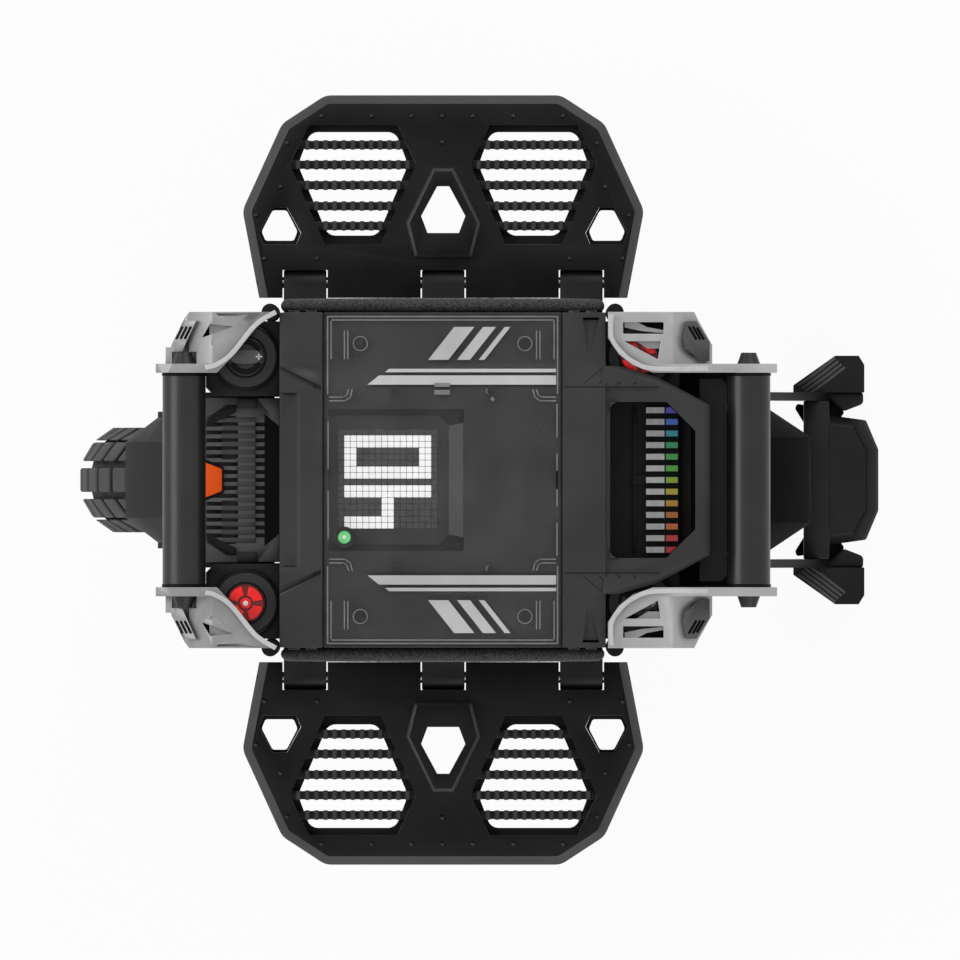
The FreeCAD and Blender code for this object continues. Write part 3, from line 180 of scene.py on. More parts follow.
def gathered(pieces, name):     # several meshes joined as one piece
    bpy.ops.object.select_all(action="DESELECT")
    for piece in pieces:
        piece.select_set(True)
    bpy.context.view_layer.objects.active = pieces[0]
    if len(pieces) > 1:
        bpy.ops.object.join()
    whole = bpy.context.object
    whole.name = whole.data.name = name
    return whole


def applied(obj, kind, **values):       # one modifier, set and applied
    pickOnly(obj)
    modifier = obj.modifiers.new(kind.title(), kind)
    for key, value in values.items():
        setattr(modifier, key, value)
    bpy.ops.object.modifier_apply(modifier=modifier.name)
    return obj


def eased(obj, width, segments=2, angle=32):        # edges rounded off, then smooth shading
    if width:
        applied(obj, "BEVEL", width=width * mm, segments=segments, limit_method="ANGLE",
                angle_limit=math.radians(angle), harden_normals=False)
    pickOnly(obj)
    bpy.ops.object.shade_smooth_by_angle(angle=math.radians(angle))
    return obj


def cutBy(obj, cutters):        # pieces taken away from a solid
    for cutter in cutters:
        applied(obj, "BOOLEAN", operation="DIFFERENCE", object=cutter, solver="EXACT")
        bpy.data.objects.remove(cutter)
    return obj


def dressed(obj, finish):
    obj.data.materials.clear()
    obj.data.materials.append(finish)


def placed(obj, body, finishName):        # the finish goes on and the piece rides on its body
    dressed(obj, finishes[finishName])
    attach(obj, body)
    return obj


def joined(pieces, name, body, finishName, width=None, segments=2, angle=32):     # one piece made of several
    whole = gathered(pieces, name)
    if width is not None:
        eased(whole, width, segments, angle)
    return placed(whole, body, finishName)


def reworked(node, body, finishName, width):     # a copy of a CAD node with its edges rounded off
    twin = copied(nodes[node], node + ".eased")
    for key in [key for key in twin.keys() if key.startswith("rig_")]:
        del twin[key]
    twin.parent = None
    editAll(twin)
    bpy.ops.mesh.remove_doubles(threshold=0.01 * mm)
    bpy.ops.mesh.dissolve_limited(angle_limit=math.radians(1.5))
    bpy.ops.object.mode_set(mode="OBJECT")
    eased(twin, width)
    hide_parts(node)
    return placed(twin, body, finishName)


# finishes

def shade(code):        # a colour as it is seen, made linear
    parts = [int(code[index:index + 2], 16) / 255 for index in (0, 2, 4)]
    return [*[c / 12.92 if c < 0.04045 else ((c + 0.055) / 1.055) ** 2.4 for c in parts], 1]


def newFinish(name):
    finish = bpy.data.materials.new(name)
    finish.use_nodes = True
    tree = finish.node_tree
    shader = tree.nodes["Principled BSDF"]
    spot = tree.nodes.new("ShaderNodeTexCoord").outputs["Object"]
    return finish, tree, shader, spot


def fill(tree, node, values):       # numbers are set, sockets are linked
    for key, value in values.items():
        if isinstance(value, bpy.types.NodeSocket):
            tree.links.new(value, node.inputs[key])
        else:
            node.inputs[key].default_value = value


def nodeOn(tree, kind, values, **settings):     # a new node, for its outputs
    node = tree.nodes.new("ShaderNode" + kind)
    for key, value in settings.items():
        setattr(node, key, value)
    fill(tree, node, values)
    return node.outputs


def mathOn(tree, operation, *values):
    return nodeOn(tree, "Math", dict(enumerate(values)), operation=operation)[0]


def mixOn(tree, share, first, second):
    return nodeOn(tree, "Mix", {"Factor": share, 6: first, 7: second}, data_type="RGBA")[2]


def noiseOn(tree, spot, size, detail=3, stretch=None):     # size is in mm
    if stretch:
        spot = nodeOn(tree, "Mapping", {"Scale": stretch, "Vector": spot})["Vector"]
    return nodeOn(tree, "TexNoise", {"Scale": 1 / (size * mm), "Detail": detail, "Vector": spot})["Fac"]


def ramped(tree, value, stops, mode="LINEAR"):     # stops are (place, colour code)
    ramp = tree.nodes.new("ShaderNodeValToRGB")
    ramp.color_ramp.interpolation = mode
    elements = ramp.color_ramp.elements
    while len(elements) < len(stops):
        elements.new(0.5)
    for element, (place, code) in zip(elements, sorted(stops)):
        element.position = place
        element.color = shade(code)
    tree.links.new(value, ramp.inputs["Fac"])
    return ramp.outputs["Color"]


def spread(tree, value, low, high, start=0.3, end=0.7):     # noise turned into a range such as a roughness
    return nodeOn(tree, "MapRange", {"From Min": start, "From Max": end, "To Min": low, "To Max": high,
                                     "Value": value})["Result"]


def bumped(tree, shader, height, depth, strength=0.6):      # depth is in mm
    bump = nodeOn(tree, "Bump", {"Strength": strength, "Distance": depth * mm, "Height": height})
    tree.links.new(bump["Normal"], shader.inputs["Normal"])


def makeFinish(name, low, high, roughLow, roughHigh, metal, cloud, grain, depth, shine, stretch=None, coat=0):
    finish, tree, shader, spot = newFinish(name)
    clouds = noiseOn(tree, spot, cloud)
    grains = noiseOn(tree, spot, grain, 2, stretch)
    blend = mathOn(tree, "MULTIPLY_ADD", grains, 0.35, clouds)
    fill(tree, shader, {"Base Color": ramped(tree, blend, [(0.5, low), (0.9, high)]), "Metallic": metal,
                        "Roughness": spread(tree, clouds, roughLow, roughHigh), "Specular IOR Level": shine})
    bumped(tree, shader, grains, depth)
    if coat:
        fill(tree, shader, {"Coat Weight": coat, "Coat Roughness": 0.12})
    return finish


# two tones, roughness from and to, metal, size of clouds and of grain in mm, depth of grain in mm, shine,
# then for some the stretch of the grain and a coat
finishTable = {
    "shell": ("303030", "393939", 0.4, 0.5, 0, 60, 0.6, 0.04, 0.18),
    "panel": ("292929", "313131", 0.4, 0.5, 0, 60, 0.4, 0.02, 0.15),
    "box": ("222223", "2b2b2c", 0.46, 0.58, 0, 50, 0.8, 0.06, 0.18),
    "guard": ("262626", "2f2f2f", 0.4, 0.52, 0, 45, 0.7, 0.05, 0.15),
    # black plastic darkened further as painted shade, for the rear mudguard and the dark pieces at the rear
    "guardShadedBlack": ("080808", "0e0e0e", 0.6, 0.7, 0, 45, 0.7, 0.05, 0.02),
    "pedal": ("151515", "1d1d1d", 0.34, 0.46, 0.2, 40, 0.7, 0.05, 0.15),
    "deck": ("2a2a2c", "333335", 0.32, 0.42, 0.4, 40, 0.3, 0.02, 0.5),
    "casting": ("191919", "232323", 0.38, 0.5, 0.25, 30, 0.7, 0.06, 0.18),
    "forkBlack": ("141415", "1c1c1d", 0.22, 0.3, 0.6, 40, 0.2, 0.01, 0.5),
    "silver": ("a2a2a2", "b0b0b0", 0.36, 0.46, 0.3, 24, 0.45, 0.035, 0.5),
    # the bracket silver darkened as painted shade, for the front brackets, their vent plates and a floor of the rear
    # ones
    "silverShaded": ("8a8a8a", "989898", 0.36, 0.46, 0.3, 24, 0.45, 0.035, 0.5),
    # the bracket silver darkened to grey as painted shade, for the vent facet of the rear brackets
    "ventShadedGrey": ("505050", "5c5c5c", 0.4, 0.5, 0.2, 24, 0.45, 0.03, 0.3),
    # a polished edge, painted brighter still as a highlight
    "silverEdgeHighlight": ("bcbcbc", "cacaca", 0.24, 0.34, 0.35, 24, 0.3, 0.015, 0.5),
    "bar": ("161616", "1f1f1f", 0.36, 0.44, 0, 35, 0.5, 0.02, 0.3, None, 0.15),
    "cap": ("222222", "2b2b2b", 0.34, 0.44, 0, 20, 0.4, 0.02, 0.3),
    "rubber": ("121212", "1c1c1c", 0.55, 0.68, 0, 20, 0.6, 0.05, 0.15),
    "knobRed": ("e00d0d", "ff1414", 0.24, 0.34, 0.2, 8, 0.25, 0.012, 0.5),
    "steel": ("a2a3a6", "b9babd", 0.2, 0.3, 0.95, 30, 0.25, 0.01, 0.5, (1, 1, 8)),
    "slider": ("b7b8bb", "c6c7ca", 0.08, 0.14, 1.0, 60, 0.2, 0.004, 0.5, (8, 8, 1)),
    "bolt": ("2e2e30", "3c3c3e", 0.28, 0.4, 0.8, 6, 0.2, 0.01, 0.5),
    "rim": ("202022", "2a2a2c", 0.32, 0.42, 0.5, 40, 0.4, 0.02, 0.5),
    "hub": ("2b2b2d", "363638", 0.36, 0.48, 0.45, 40, 0.8, 0.05, 0.5),
    "lamination": ("55504c", "68625c", 0.4, 0.52, 0.8, 20, 0.5, 0.05, 0.5, (0.1, 6, 0.1)),
    "stand": ("121213", "1a1a1b", 0.44, 0.54, 0.1, 40, 0.9, 0.07, 0.12),
    "foot": ("181818", "222222", 0.52, 0.66, 0, 20, 0.7, 0.06, 0.15),
    "footRib": ("2e2e2e", "3c3c3c", 0.44, 0.56, 0, 14, 0.5, 0.04, 0.5),
    "orange": ("ff5a06", "ff6a12", 0.3, 0.38, 0, 14, 0.3, 0.015, 0.25),
    "sink": ("545454", "626262", 0.36, 0.46, 0.25, 24, 0.5, 0.04, 0.5),
    "sinkRib": ("484848", "555555", 0.36, 0.46, 0.2, 20, 0.5, 0.04, 0.3),
    "ledge": ("171717", "1e1e1e", 0.38, 0.46, 0, 20, 0.4, 0.03, 0.1),
    "board": ("262627", "303031", 0.3, 0.4, 0, 20, 0.3, 0.01, 0.2),
    "circuit": ("0e4a26", "15602f", 0.24, 0.34, 0, 8, 0.6, 0.02, 0.5),
    "wrap": ("16376e", "1d4484", 0.22, 0.32, 0, 16, 0.8, 0.03, 0.5),
    "lit": ("ececec", "f8f8f8", 0.3, 0.38, 0, 4, 0.2, 0.005, 0.5),
    "unlit": ("3f3f40", "484849", 0.24, 0.32, 0, 4, 0.2, 0.005, 0.3),
    "stripe": ("b4b4b4", "c3c3c3", 0.3, 0.38, 0, 30, 0.3, 0.006, 0.5),
    "mark": ("d8d8d8", "e6e6e6", 0.34, 0.42, 0, 6, 0.2, 0.004, 0.5),
    "green": ("62c474", "7bdb8b", 0.22, 0.3, 0, 4, 0.3, 0.01, 0.5, None, 0.4),
    "latch": ("6c6c6c", "7c7c7c", 0.32, 0.42, 0, 8, 0.3, 0.015, 0.5),
    "bead": ("6a6a6a", "7d7d7d", 0.12, 0.2, 0, 10, 0.3, 0.006, 0.5),
    "guide": ("a0a0a0", "b2b2b2", 0.22, 0.3, 0, 6, 0.3, 0.01, 0.5),
    "pocket": ("2a2a2a", "343434", 0.34, 0.42, 0, 30, 0.5, 0.03, 0.25),
    "shadow": ("060606", "0b0b0b", 0.46, 0.56, 0, 20, 0.5, 0.02, 0.1),
    "knobDark": ("5a0808", "740b0b", 0.3, 0.4, 0.2, 8, 0.3, 0.02, 0.5),
    "knobGrip": ("3b3b3b", "474747", 0.34, 0.44, 0, 10, 0.3, 0.02, 0.5),
    # paler finish for the slanted edges of the pedals, a painted highlight
    "pedalEdgeHighlight": ("343434", "414141", 0.34, 0.46, 0.2, 30, 0.6, 0.04, 0.5),
    "pedalTeeth": ("242424", "333333", 0.36, 0.48, 0.2, 14, 0.6, 0.05, 0.5),
}
finishes = {name: makeFinish(name, *values) for name, values in finishTable.items()}
# the display pixels give real light; the glow on the orange trim is painted light, which brightens the trim where the
# bars shade it
lightAndPaintedGlow = {"lit": ((1, 1, 1, 1), 0.35), "orange": ((1, 0.1, 0, 1), 0.12)}
for name, (colour, strength) in lightAndPaintedGlow.items():
    tree = finishes[name].node_tree
    fill(tree, tree.nodes["Principled BSDF"], {"Emission Color": colour, "Emission Strength": strength})


def makeClear(name, low, high, alpha, rough):      # a clear moulding that lets light through to what is under it
    finish, tree, shader, spot = newFinish(name)
    haze = noiseOn(tree, spot, 30)
    fill(tree, shader, {"Base Color": ramped(tree, haze, [(0.3, low), (0.7, high)]),
                        "Roughness": spread(tree, haze, *rough), "Alpha": spread(tree, haze, *alpha),
                        "IOR": 1.49, "Specular IOR Level": 0.3})
    bumped(tree, shader, noiseOn(tree, spot, 12), 0.02, 0.3)
    return finish


def makeFoam():     # rough skin of moulded foam, pale specks on dark
    finish, tree, shader, spot = newFinish("roughFoam")
    cells = nodeOn(tree, "TexVoronoi", {"Scale": 1 / (1.3 * mm), "Vector": spot})["Distance"]
    specks = noiseOn(tree, spot, 1.1, 4)
    mix = mathOn(tree, "MULTIPLY", cells, specks)
    tones = ramped(tree, mix, [(0.1, "4a4a4a"), (0.26, "2f2f2f"), (0.45, "1d1d1d")])
    fill(tree, shader, {"Base Color": tones, "Roughness": spread(tree, specks, 0.72, 0.9)})
    bumped(tree, shader, mix, 0.5, 0.8)
    return finish


def makeTyreRubber(axleZ, crown):       # moulded rubber, paler on the worn tops of the knobs and black in the grooves as painted shade
    finish, tree, shader, spot = newFinish("tyreRubber")
    dust = noiseOn(tree, spot, 26, 5)
    fine = noiseOn(tree, spot, 0.9, 2)
    apart = nodeOn(tree, "SeparateXYZ", {"Vector": spot})
    rise = mathOn(tree, "SUBTRACT", apart["Z"], axleZ * mm)
    flat = nodeOn(tree, "CombineXYZ", {"X": apart["X"], "Y": rise})["Vector"]
    reach = nodeOn(tree, "VectorMath", {0: flat}, operation="LENGTH")["Value"]
    square = mathOn(tree, "MULTIPLY", apart["Y"], apart["Y"])
    level = mathOn(tree, "MULTIPLY_ADD", square, 0.56 / (crown * mm), reach)     # from the axle, levelled across
    # paler on the knob tops from wear, black lower down as painted shade in the grooves
    wearAndGrooveShade = spread(tree, level, 0, 1, 0.2475, 0.2555)
    tones = mixOn(tree, wearAndGrooveShade, ramped(tree, dust, [(0.3, "121212"), (0.7, "1d1d1d")]),
                  ramped(tree, dust, [(0.3, "3a3a3a"), (0.55, "444444"), (0.75, "4e4e4e")]))
    fill(tree, shader, {"Base Color": tones, "Roughness": spread(tree, dust, 0.6, 0.78), "Specular IOR Level": 0.3})
    bumped(tree, shader, fine, 0.12)
    return finish


lampColours = ["5a5ae0", "3f78e0", "2f9fae", "2fa566", "3fae4a", "58b43e", "93b63a", "c9b638", "c99a34", "c4762e",
               "d8702c", "d8342c", "d02828"]


def makeLampColours(half, splitX):     # grey guides in front, one colour for each bar behind
    finish, tree, shader, spot = newFinish("lampColours")
    apart = nodeOn(tree, "SeparateXYZ", {"Vector": spot})
    share = spread(tree, apart["Y"], 0, 1, half * mm, -half * mm)
    stops = [(index / len(lampColours), code) for index, code in enumerate(lampColours)]
    behind = mathOn(tree, "GREATER_THAN", apart["X"], splitX * mm)
    tones = mixOn(tree, behind, ramped(tree, noiseOn(tree, spot, 4), [(0.3, "c4c4c4"), (0.7, "d4d4d4")]),
                  ramped(tree, share, stops, "CONSTANT"))
    fill(tree, shader, {"Base Color": tones, "Roughness": spread(tree, noiseOn(tree, spot, 5), 0.2, 0.3)})
    bumped(tree, shader, noiseOn(tree, spot, 0.4), 0.02)
    return finish


finishes["clear"] = makeClear("clearMoulding", "6f7072", "7e7f82", (0.07, 0.10), (0.05, 0.09))
finishes["lens"] = makeClear("clearLens", "c6cacd", "d8dcdf", (0.42, 0.50), (0.03, 0.07))
finishes["foam"] = makeFoam()
finishes["tyre"] = makeTyreRubber(256, 40)
print("finishes ready:", len(finishes))


# floor, light and camera

stageLook = {"floor": 30, "floorZ": -0.0005, "whiteShare": 0.94, "world": 0.42, "worldSeen": 0.97, "aim": (0, 0, 0.5),
             "lamps": {"keySoftbox": ((-2.1, 0.5, 2.0), 31, 1.5), "fillSoftbox": ((0.9, 2.1, 2.1), 24, 2.0),
                       "sideSoftbox": ((0.9, -2.2, 1.9), 20, 2.0)}}
photoView = {"middle": (25.9, 0), "height": 30, "span": 0.6675, "topZ": 0.58, "sensor": 36, "clip": 100}


def seenRays(tree):     # 1 for what is seen straight, mirrored or through a clear piece
    ray = nodeOn(tree, "LightPath", {})
    seen = mathOn(tree, "MAXIMUM", ray["Is Camera Ray"], ray["Is Glossy Ray"])
    return mathOn(tree, "MAXIMUM", seen, ray["Is Transmission Ray"])


bpy.ops.object.select_all(action="DESELECT")
bpy.ops.mesh.primitive_plane_add(size=stageLook["floor"], location=(0, 0, stageLook["floorZ"]))
floor = settle(bpy.context.object, "studioFloor")
floorFinish, tree, shader, spot = newFinish("paleFloor")
fill(tree, shader, {"Base Color": ramped(tree, noiseOn(tree, spot, 300), [(0.3, "e6e6e6"), (0.7, "eaeaea")]),
                    "Roughness": 0.8})
share = mathOn(tree, "MULTIPLY", seenRays(tree), stageLook["whiteShare"])
white = nodeOn(tree, "Emission", {})["Emission"]
both = nodeOn(tree, "MixShader", {0: share, 1: shader.outputs["BSDF"], 2: white})["Shader"]
fill(tree, tree.nodes["Material Output"], {"Surface": both})
floor.data.materials.append(floorFinish)

for name, (spot, power, size) in stageLook["lamps"].items():
    bpy.ops.object.light_add(type="AREA", location=spot)
    lamp = bpy.context.object
    lamp.name = name
    lamp.data.energy = power
    lamp.data.size = size
    lamp.rotation_euler = (Vector(stageLook["aim"]) - Vector(spot)).to_track_quat("-Z", "Y").to_euler()
world = bpy.data.worlds.new("studio")
world.use_nodes = True
tree = world.node_tree
share = mathOn(tree, "MULTIPLY_ADD", seenRays(tree), stageLook["worldSeen"] - stageLook["world"], stageLook["world"])
fill(tree, tree.nodes["Background"], {"Color": (1, 1, 1, 1), "Strength": share})
bpy.context.scene.world = world
bpy.context.scene.view_settings.view_transform = "Standard"

bpy.ops.object.camera_add(location=(photoView["middle"][0] * mm, photoView["middle"][1] * mm, photoView["height"]),
                          rotation=(0, 0, 0))
camera = bpy.context.object
camera.name = "photoCamera"
camera.data.sensor_width = photoView["sensor"]
camera.data.lens = photoView["sensor"] * (photoView["height"] - photoView["topZ"]) / photoView["span"]
camera.data.clip_end = photoView["clip"]
bpy.context.scene.camera = camera
print("stage ready")


# CAD nodes that keep their shape

nodeFinish = {
    "deck": ["main_deck"],
    "box": ["battery_box_left", "battery_box_right"],
    "wrap": ["battery_packs"],
    "steel": ["pedal_hinge_pins", "damper_rods", "axle", "axle_nuts", "magnets", "hub_bearings"],
    "slider": ["stanchions"],
    "bolt": ["cover_screws", "hub_bolts"],
    "rubber": ["fork_seals", "corner_bumpers", "charge_port"],
    "forkBlack": ["fork_tubes"],
    "cap": ["fork_caps", "bar_end_caps"],
    "board": ["display_panel"],
    "circuit": ["controller_board"],
    "ledge": ["tail_light_tray"],
    "lens": ["headlight_lens"],
    "lamination": ["stator"],
    "rim": ["rim"],
    "hub": ["hub_covers"],
    "green": ["power_button"],
    "bar": ["grab_bars"],
    "clear": ["display_cover"],
    "foot": ["stand_feet"],
}
for finishName, members in nodeFinish.items():
    for member in members:
        dressed(nodes[member], finishes[finishName])

# CAD nodes shown as a copy with its edges rounded off: nodes, body, slot, finish, edge width in mm
roundedNodes = [
    ("front_top_cover rear_top_cover", "frame", "body_plastic", "shell", 1.2),
    ("top_panel", "frame", "body_plastic", "panel", 0.6),
    ("headlight_block", "frame", "black_metal", "sink", 0.35),
    ("headlight_trim", "frame", "orange_trim", "orange", 0.8),
    ("upper_fork_clamps lower_fork_clamps", "frame", "black_metal", "casting", 0.8),
    # the front brackets take the silver darkened as painted shade
    ("front_bracket_left front_bracket_right", "frame", "silver_cast", "silverShaded", 0.9),
    ("rear_bracket_left rear_bracket_right", "frame", "silver_cast", "silver", 0.9),
    ("hanger_left hanger_right", "frame", "black_metal", "casting", 0.8),
    ("axle_carrier_left axle_carrier_right", "carriage", "black_metal", "casting", 1.0),
    ("mudguard_front", "carriage", "guard_plastic", "guard", 0.8),
    # the rear mudguard is darkened as painted shade
    ("mudguard_rear", "carriage", "guard_plastic", "guardShadedBlack", 0.8),
    ("stand_arms", "stand", "stand_metal", "stand", 0.5),
    ("stand_crossbar", "stand", "stand_metal", "casting", 1.0),
    ("pedal_left", "pedal_left", "black_metal", "pedal", 1.2),
    ("pedal_right", "pedal_right", "black_metal", "pedal", 1.2),
]
rounded = {}
for members, body, slot, finishName, width in roundedNodes:
    for node in members.split():
        rounded[node] = reworked(node, body, finishName, width)
print("nodes dressed, edges rounded on", len(rounded))


# tyre: carcass spun about the axle, five rows of knobs

tyreShape = {"axleZ": 256, "radius": 256, "crown": 40, "groove": 8, "sunk": 0.8, "count": 60, "gap": 1.3, "edge": 1.1,
             "floorSteps": (34, 27, 20, 13, 7, 0),
             "rows": [(-8.4, 8.4, 0, 0), (13.3, 26.4, 1.6, 0.15), (27.8, 36.7, 2.2, 0.55)],
             "side": [(178.4, 29.7), (190.6, 29.7), (193, 32), (197, 33.6), (198, 34.9), (201, 34.9), (202, 34.6),
                      (214, 36.6), (222, 36.4)],
             "inside": [(233, 0), (229, 14), (222, 27), (205, 28), (190, 22.6), (178.4, 22)]}


def crownAt(y):
    return tyreShape["radius"] - tyreShape["crown"] + math.sqrt(tyreShape["crown"] ** 2 - y ** 2)


def treadSpot(turn, y, radius):
    angle = math.radians(turn)
    return (-radius * math.cos(angle), y, tyreShape["axleZ"] + radius * math.sin(angle))


def addTyre():
    axleZ, groove, count, gap, inside = pick(tyreShape, "axleZ groove count gap inside")
    half = tyreShape["side"] + [(crownAt(y) - groove, y) for y in tyreShape["floorSteps"]]
    outer = half + [(r, -y) for r, y in half[-2::-1]]
    profile = outer + [(r, -y) for r, y in inside[:0:-1]] + inside
    carcass = addTurned("carcass", profile, (0, 0, axleZ), (0, 1, 0), 120)
    pitch = 360 / count
    sector = []
    for near, far, slant, shift in tyreShape["rows"]:
        for side in sides[:1] if near < 0 else sides:
            start, end = gap / 2 + shift * pitch, pitch - gap / 2 + shift * pitch
            ring = flipped([(start, near), (end, near), (end + slant, far), (start + slant, far)], side)
            low = [treadSpot(turn, y, crownAt(y) - groove - tyreShape["sunk"]) for turn, y in ring]
            high = [treadSpot(turn, y, crownAt(y)) for turn, y in ring]
            knob = pulled(addOutline("knob", low), (0, 0, 1))
            for vertex, spot in zip(list(knob.data.vertices)[4:], high):
                vertex.co = Vector(spot) * mm
            editAll(knob)
            sector.append(facedOut(knob))
    sector = eased(gathered(sector, "knobRow"), tyreShape["edge"], 1, 40)
    middle = Matrix.Translation((0, 0, axleZ * mm))
    knobs = [sector]
    for index in range(1, count):
        turn = Matrix.Rotation(math.radians(index * pitch), 4, "Y")
        knobs.append(copied(sector, "knobRow", middle @ turn @ middle.inverted()))
    tyre = gathered([carcass] + knobs, "tyre.tread")
    eased(tyre, 0, angle=34)
    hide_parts("tyre")
    return placed(tyre, "wheel", "tyre")


addTyre()
print("tyre ready")


# foam pads on the battery boxes

foamShape = {"inset": 0.5, "lift": 0.2, "edge": 4.2, "voxel": 2.2, "crown": 1.6, "swell": 0.4, "rough": 0.9,
             "roughMiddle": 0.62, "clump": 3.2}


def addFoamPad(node, side):
    low, high = [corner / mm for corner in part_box(node)]
    inset, lift, crown = pick(foamShape, "inset lift crown")
    near, far = sorted((abs(low.y), abs(high.y)))
    pad = addBox(node + ".skin", (low.x + inset, side * (near + lift), low.z + inset),
                 (high.x - inset, side * (far - crown), high.z - inset))
    eased(pad, foamShape["edge"], 4)
    applied(pad, "REMESH", mode="VOXEL", voxel_size=foamShape["voxel"] * mm)
    middle = (low + high) / 2 * mm
    reach = (high - low) / 2 * mm
    for vertex in pad.data.vertices:        # the outer face swells towards its middle
        out = (vertex.co.y * side - near * mm) / ((far - near) * mm)
        across = (1 - ((vertex.co.x - middle.x) / reach.x) ** 2) * (1 - ((vertex.co.z - middle.z) / reach.z) ** 2)
        vertex.co.y += side * crown * mm * max(out, 0) * max(across, 0) ** foamShape["swell"]
    skin = bpy.data.textures.new(node + "Skin", "CLOUDS")
    skin.noise_scale = foamShape["clump"] * mm
    applied(pad, "DISPLACE", texture=skin, texture_coords="LOCAL", strength=foamShape["rough"] * mm,
            mid_level=foamShape["roughMiddle"])
    pickOnly(pad)
    bpy.ops.object.shade_smooth()
    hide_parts(node)
    placed(pad, "frame", "foam")


addFoamPad("foam_pad_right", 1)
addFoamPad("foam_pad_left", -1)
print("foam pads ready")


# display: rows of light pixels that show two plain digits

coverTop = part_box("display_cover")[1].z / mm
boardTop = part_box("display_panel")[1].z / mm
pixelGrid = {"count": 16, "pitch": 4.32, "size": 4.02, "height": 0.5, "edge": 0.25, "frontX": -72.4, "leftY": -33.6,
             "digits": [[(0, 0, 2, 8), (0, 6, 7, 8), (5, 0, 7, 14)],
                        [(0, 0, 7, 2), (0, 12, 7, 14), (0, 0, 2, 14), (5, 0, 7, 14)]],
             "digitStep": 8, "margin": 1}


def pixelLit(column, row):      # columns run to the right of the rider, rows from the front back
    for index, strokes in enumerate(pixelGrid["digits"]):
        across = column - index * pixelGrid["digitStep"]
        down = row - pixelGrid["margin"]
        if any(x0 <= across < x1 and y0 <= down < y1 for x0, y0, x1, y1 in strokes):
            return True
    return False


def addPixels():
    count, pitch, size, x, y = pick(pixelGrid, "count pitch size frontX leftY")
    pixel = addBox("pixel", (x, y, boardTop - 0.1), (x + size, y + size, boardTop + pixelGrid["height"]))
    eased(pixel, pixelGrid["edge"], 1)
    for step in ((pitch * mm, 0, 0), (0, pitch * mm, 0)):
        applied(pixel, "ARRAY", count=count, use_relative_offset=False, use_constant_offset=True,
                constant_offset_displace=step)
    pickOnly(pixel)
    bpy.ops.object.mode_set(mode="EDIT")
    bpy.ops.mesh.select_all(action="DESELECT")
    bpy.ops.object.mode_set(mode="OBJECT")
    for face in pixel.data.polygons:
        row = int((face.center.x / mm - x + 0.1) // pitch)
        column = int((face.center.y / mm - y + 0.1) // pitch)
        face.select = pixelLit(column, row)
    bpy.ops.object.mode_set(mode="EDIT")
    bpy.ops.mesh.separate(type="SELECTED")
    bpy.ops.object.mode_set(mode="OBJECT")
    lit = [piece for piece in bpy.context.selected_objects if piece is not pixel][0]
    lit.name, pixel.name = "displayPixelsLit", "displayPixelsDark"
    placed(lit, "frame", "lit")
    placed(pixel, "frame", "unlit")


addPixels()

# thin beads, marks and stripes on the clear cover

coverShape = {"plateau": 63.7, "slopeEnd": 81, "drop": 10, "film": 0.14, "beadHigh": 0.5, "beadWide": 0.9,
              "latch": [(-5.7, 64.4, 5.1, 67.2), (-5.7, 59, 5.1, 62.4)], "latchHigh": 0.9,
              "dots": [(-33, 61.4, 2.1), (32, 61.4, 2.1), (-33, -61.2, 2.1), (32, -61.2, 2.1), (34.6, 56, 1.4)],
              "dotLow": 0.1, "dotHigh": 0.5, "dotTip": 0.8,
              "bosses": [(-57, -94.5), (-57, 94.5), (57, -94.5), (57, 94.5)],
              "bossRing": [(4.6, -0.1), (5.2, -0.1), (5.2, 0.25), (4.6, 0.25)]}
beadLines = [
    [(-79.6, 60), (-79.6, 113.2), (79.6, 113.2), (79.6, 60)], [(-77.2, 84), (-77.2, 110.8), (77.2, 110.8), (77.2, 84)],
    [(-68, 84), (-68, 103)], [(-65.6, 84), (-65.6, 103)], [(67.4, 84), (67.4, 103)], [(65, 84), (65, 103)],
    [(-78, 57.4), (-68.6, 57.4), (-66.4, 58.6), (-65, 62.4)],
    [(-78, 54.8), (-67.4, 54.8), (-63.8, 57.4), (-62.6, 62.4)],
    [(78, 57.4), (68.6, 57.4), (66.4, 58.6), (65, 62.4)], [(78, 54.8), (67.4, 54.8), (63.8, 57.4), (62.6, 62.4)],
    [(79.2, 30), (79.2, 52)], [(79.2, -6), (79.2, 18)], [(-79.2, 8), (-79.2, 40)],
]
stripeMarks = [[(-52, 66), (78.6, 66), (78.6, 72.4), (-44, 72.4)], [(-40, 74.6), (78.6, 74.6), (78.6, 77), (-37, 77)],
               [(-10, 83.2), (4, 83.2), (22, 106), (8, 106)], [(10, 83.2), (19, 83.2), (37, 106), (28, 106)],
               [(25, 83.2), (29, 83.2), (47, 106), (43, 106)]]


def coverZ(y):
    past = (abs(y) - coverShape["plateau"]) / (coverShape["slopeEnd"] - coverShape["plateau"])
    return coverTop - coverShape["drop"] * min(max(past, 0), 1)


def addFilm(name, outline, thick, zOf=coverZ, deep=0.02):      # a flat shape laid on a cover, following its slope
    return pulled(addOutline(name, [(x, y, zOf(y) - deep) for x, y in outline]), (0, 0, thick))


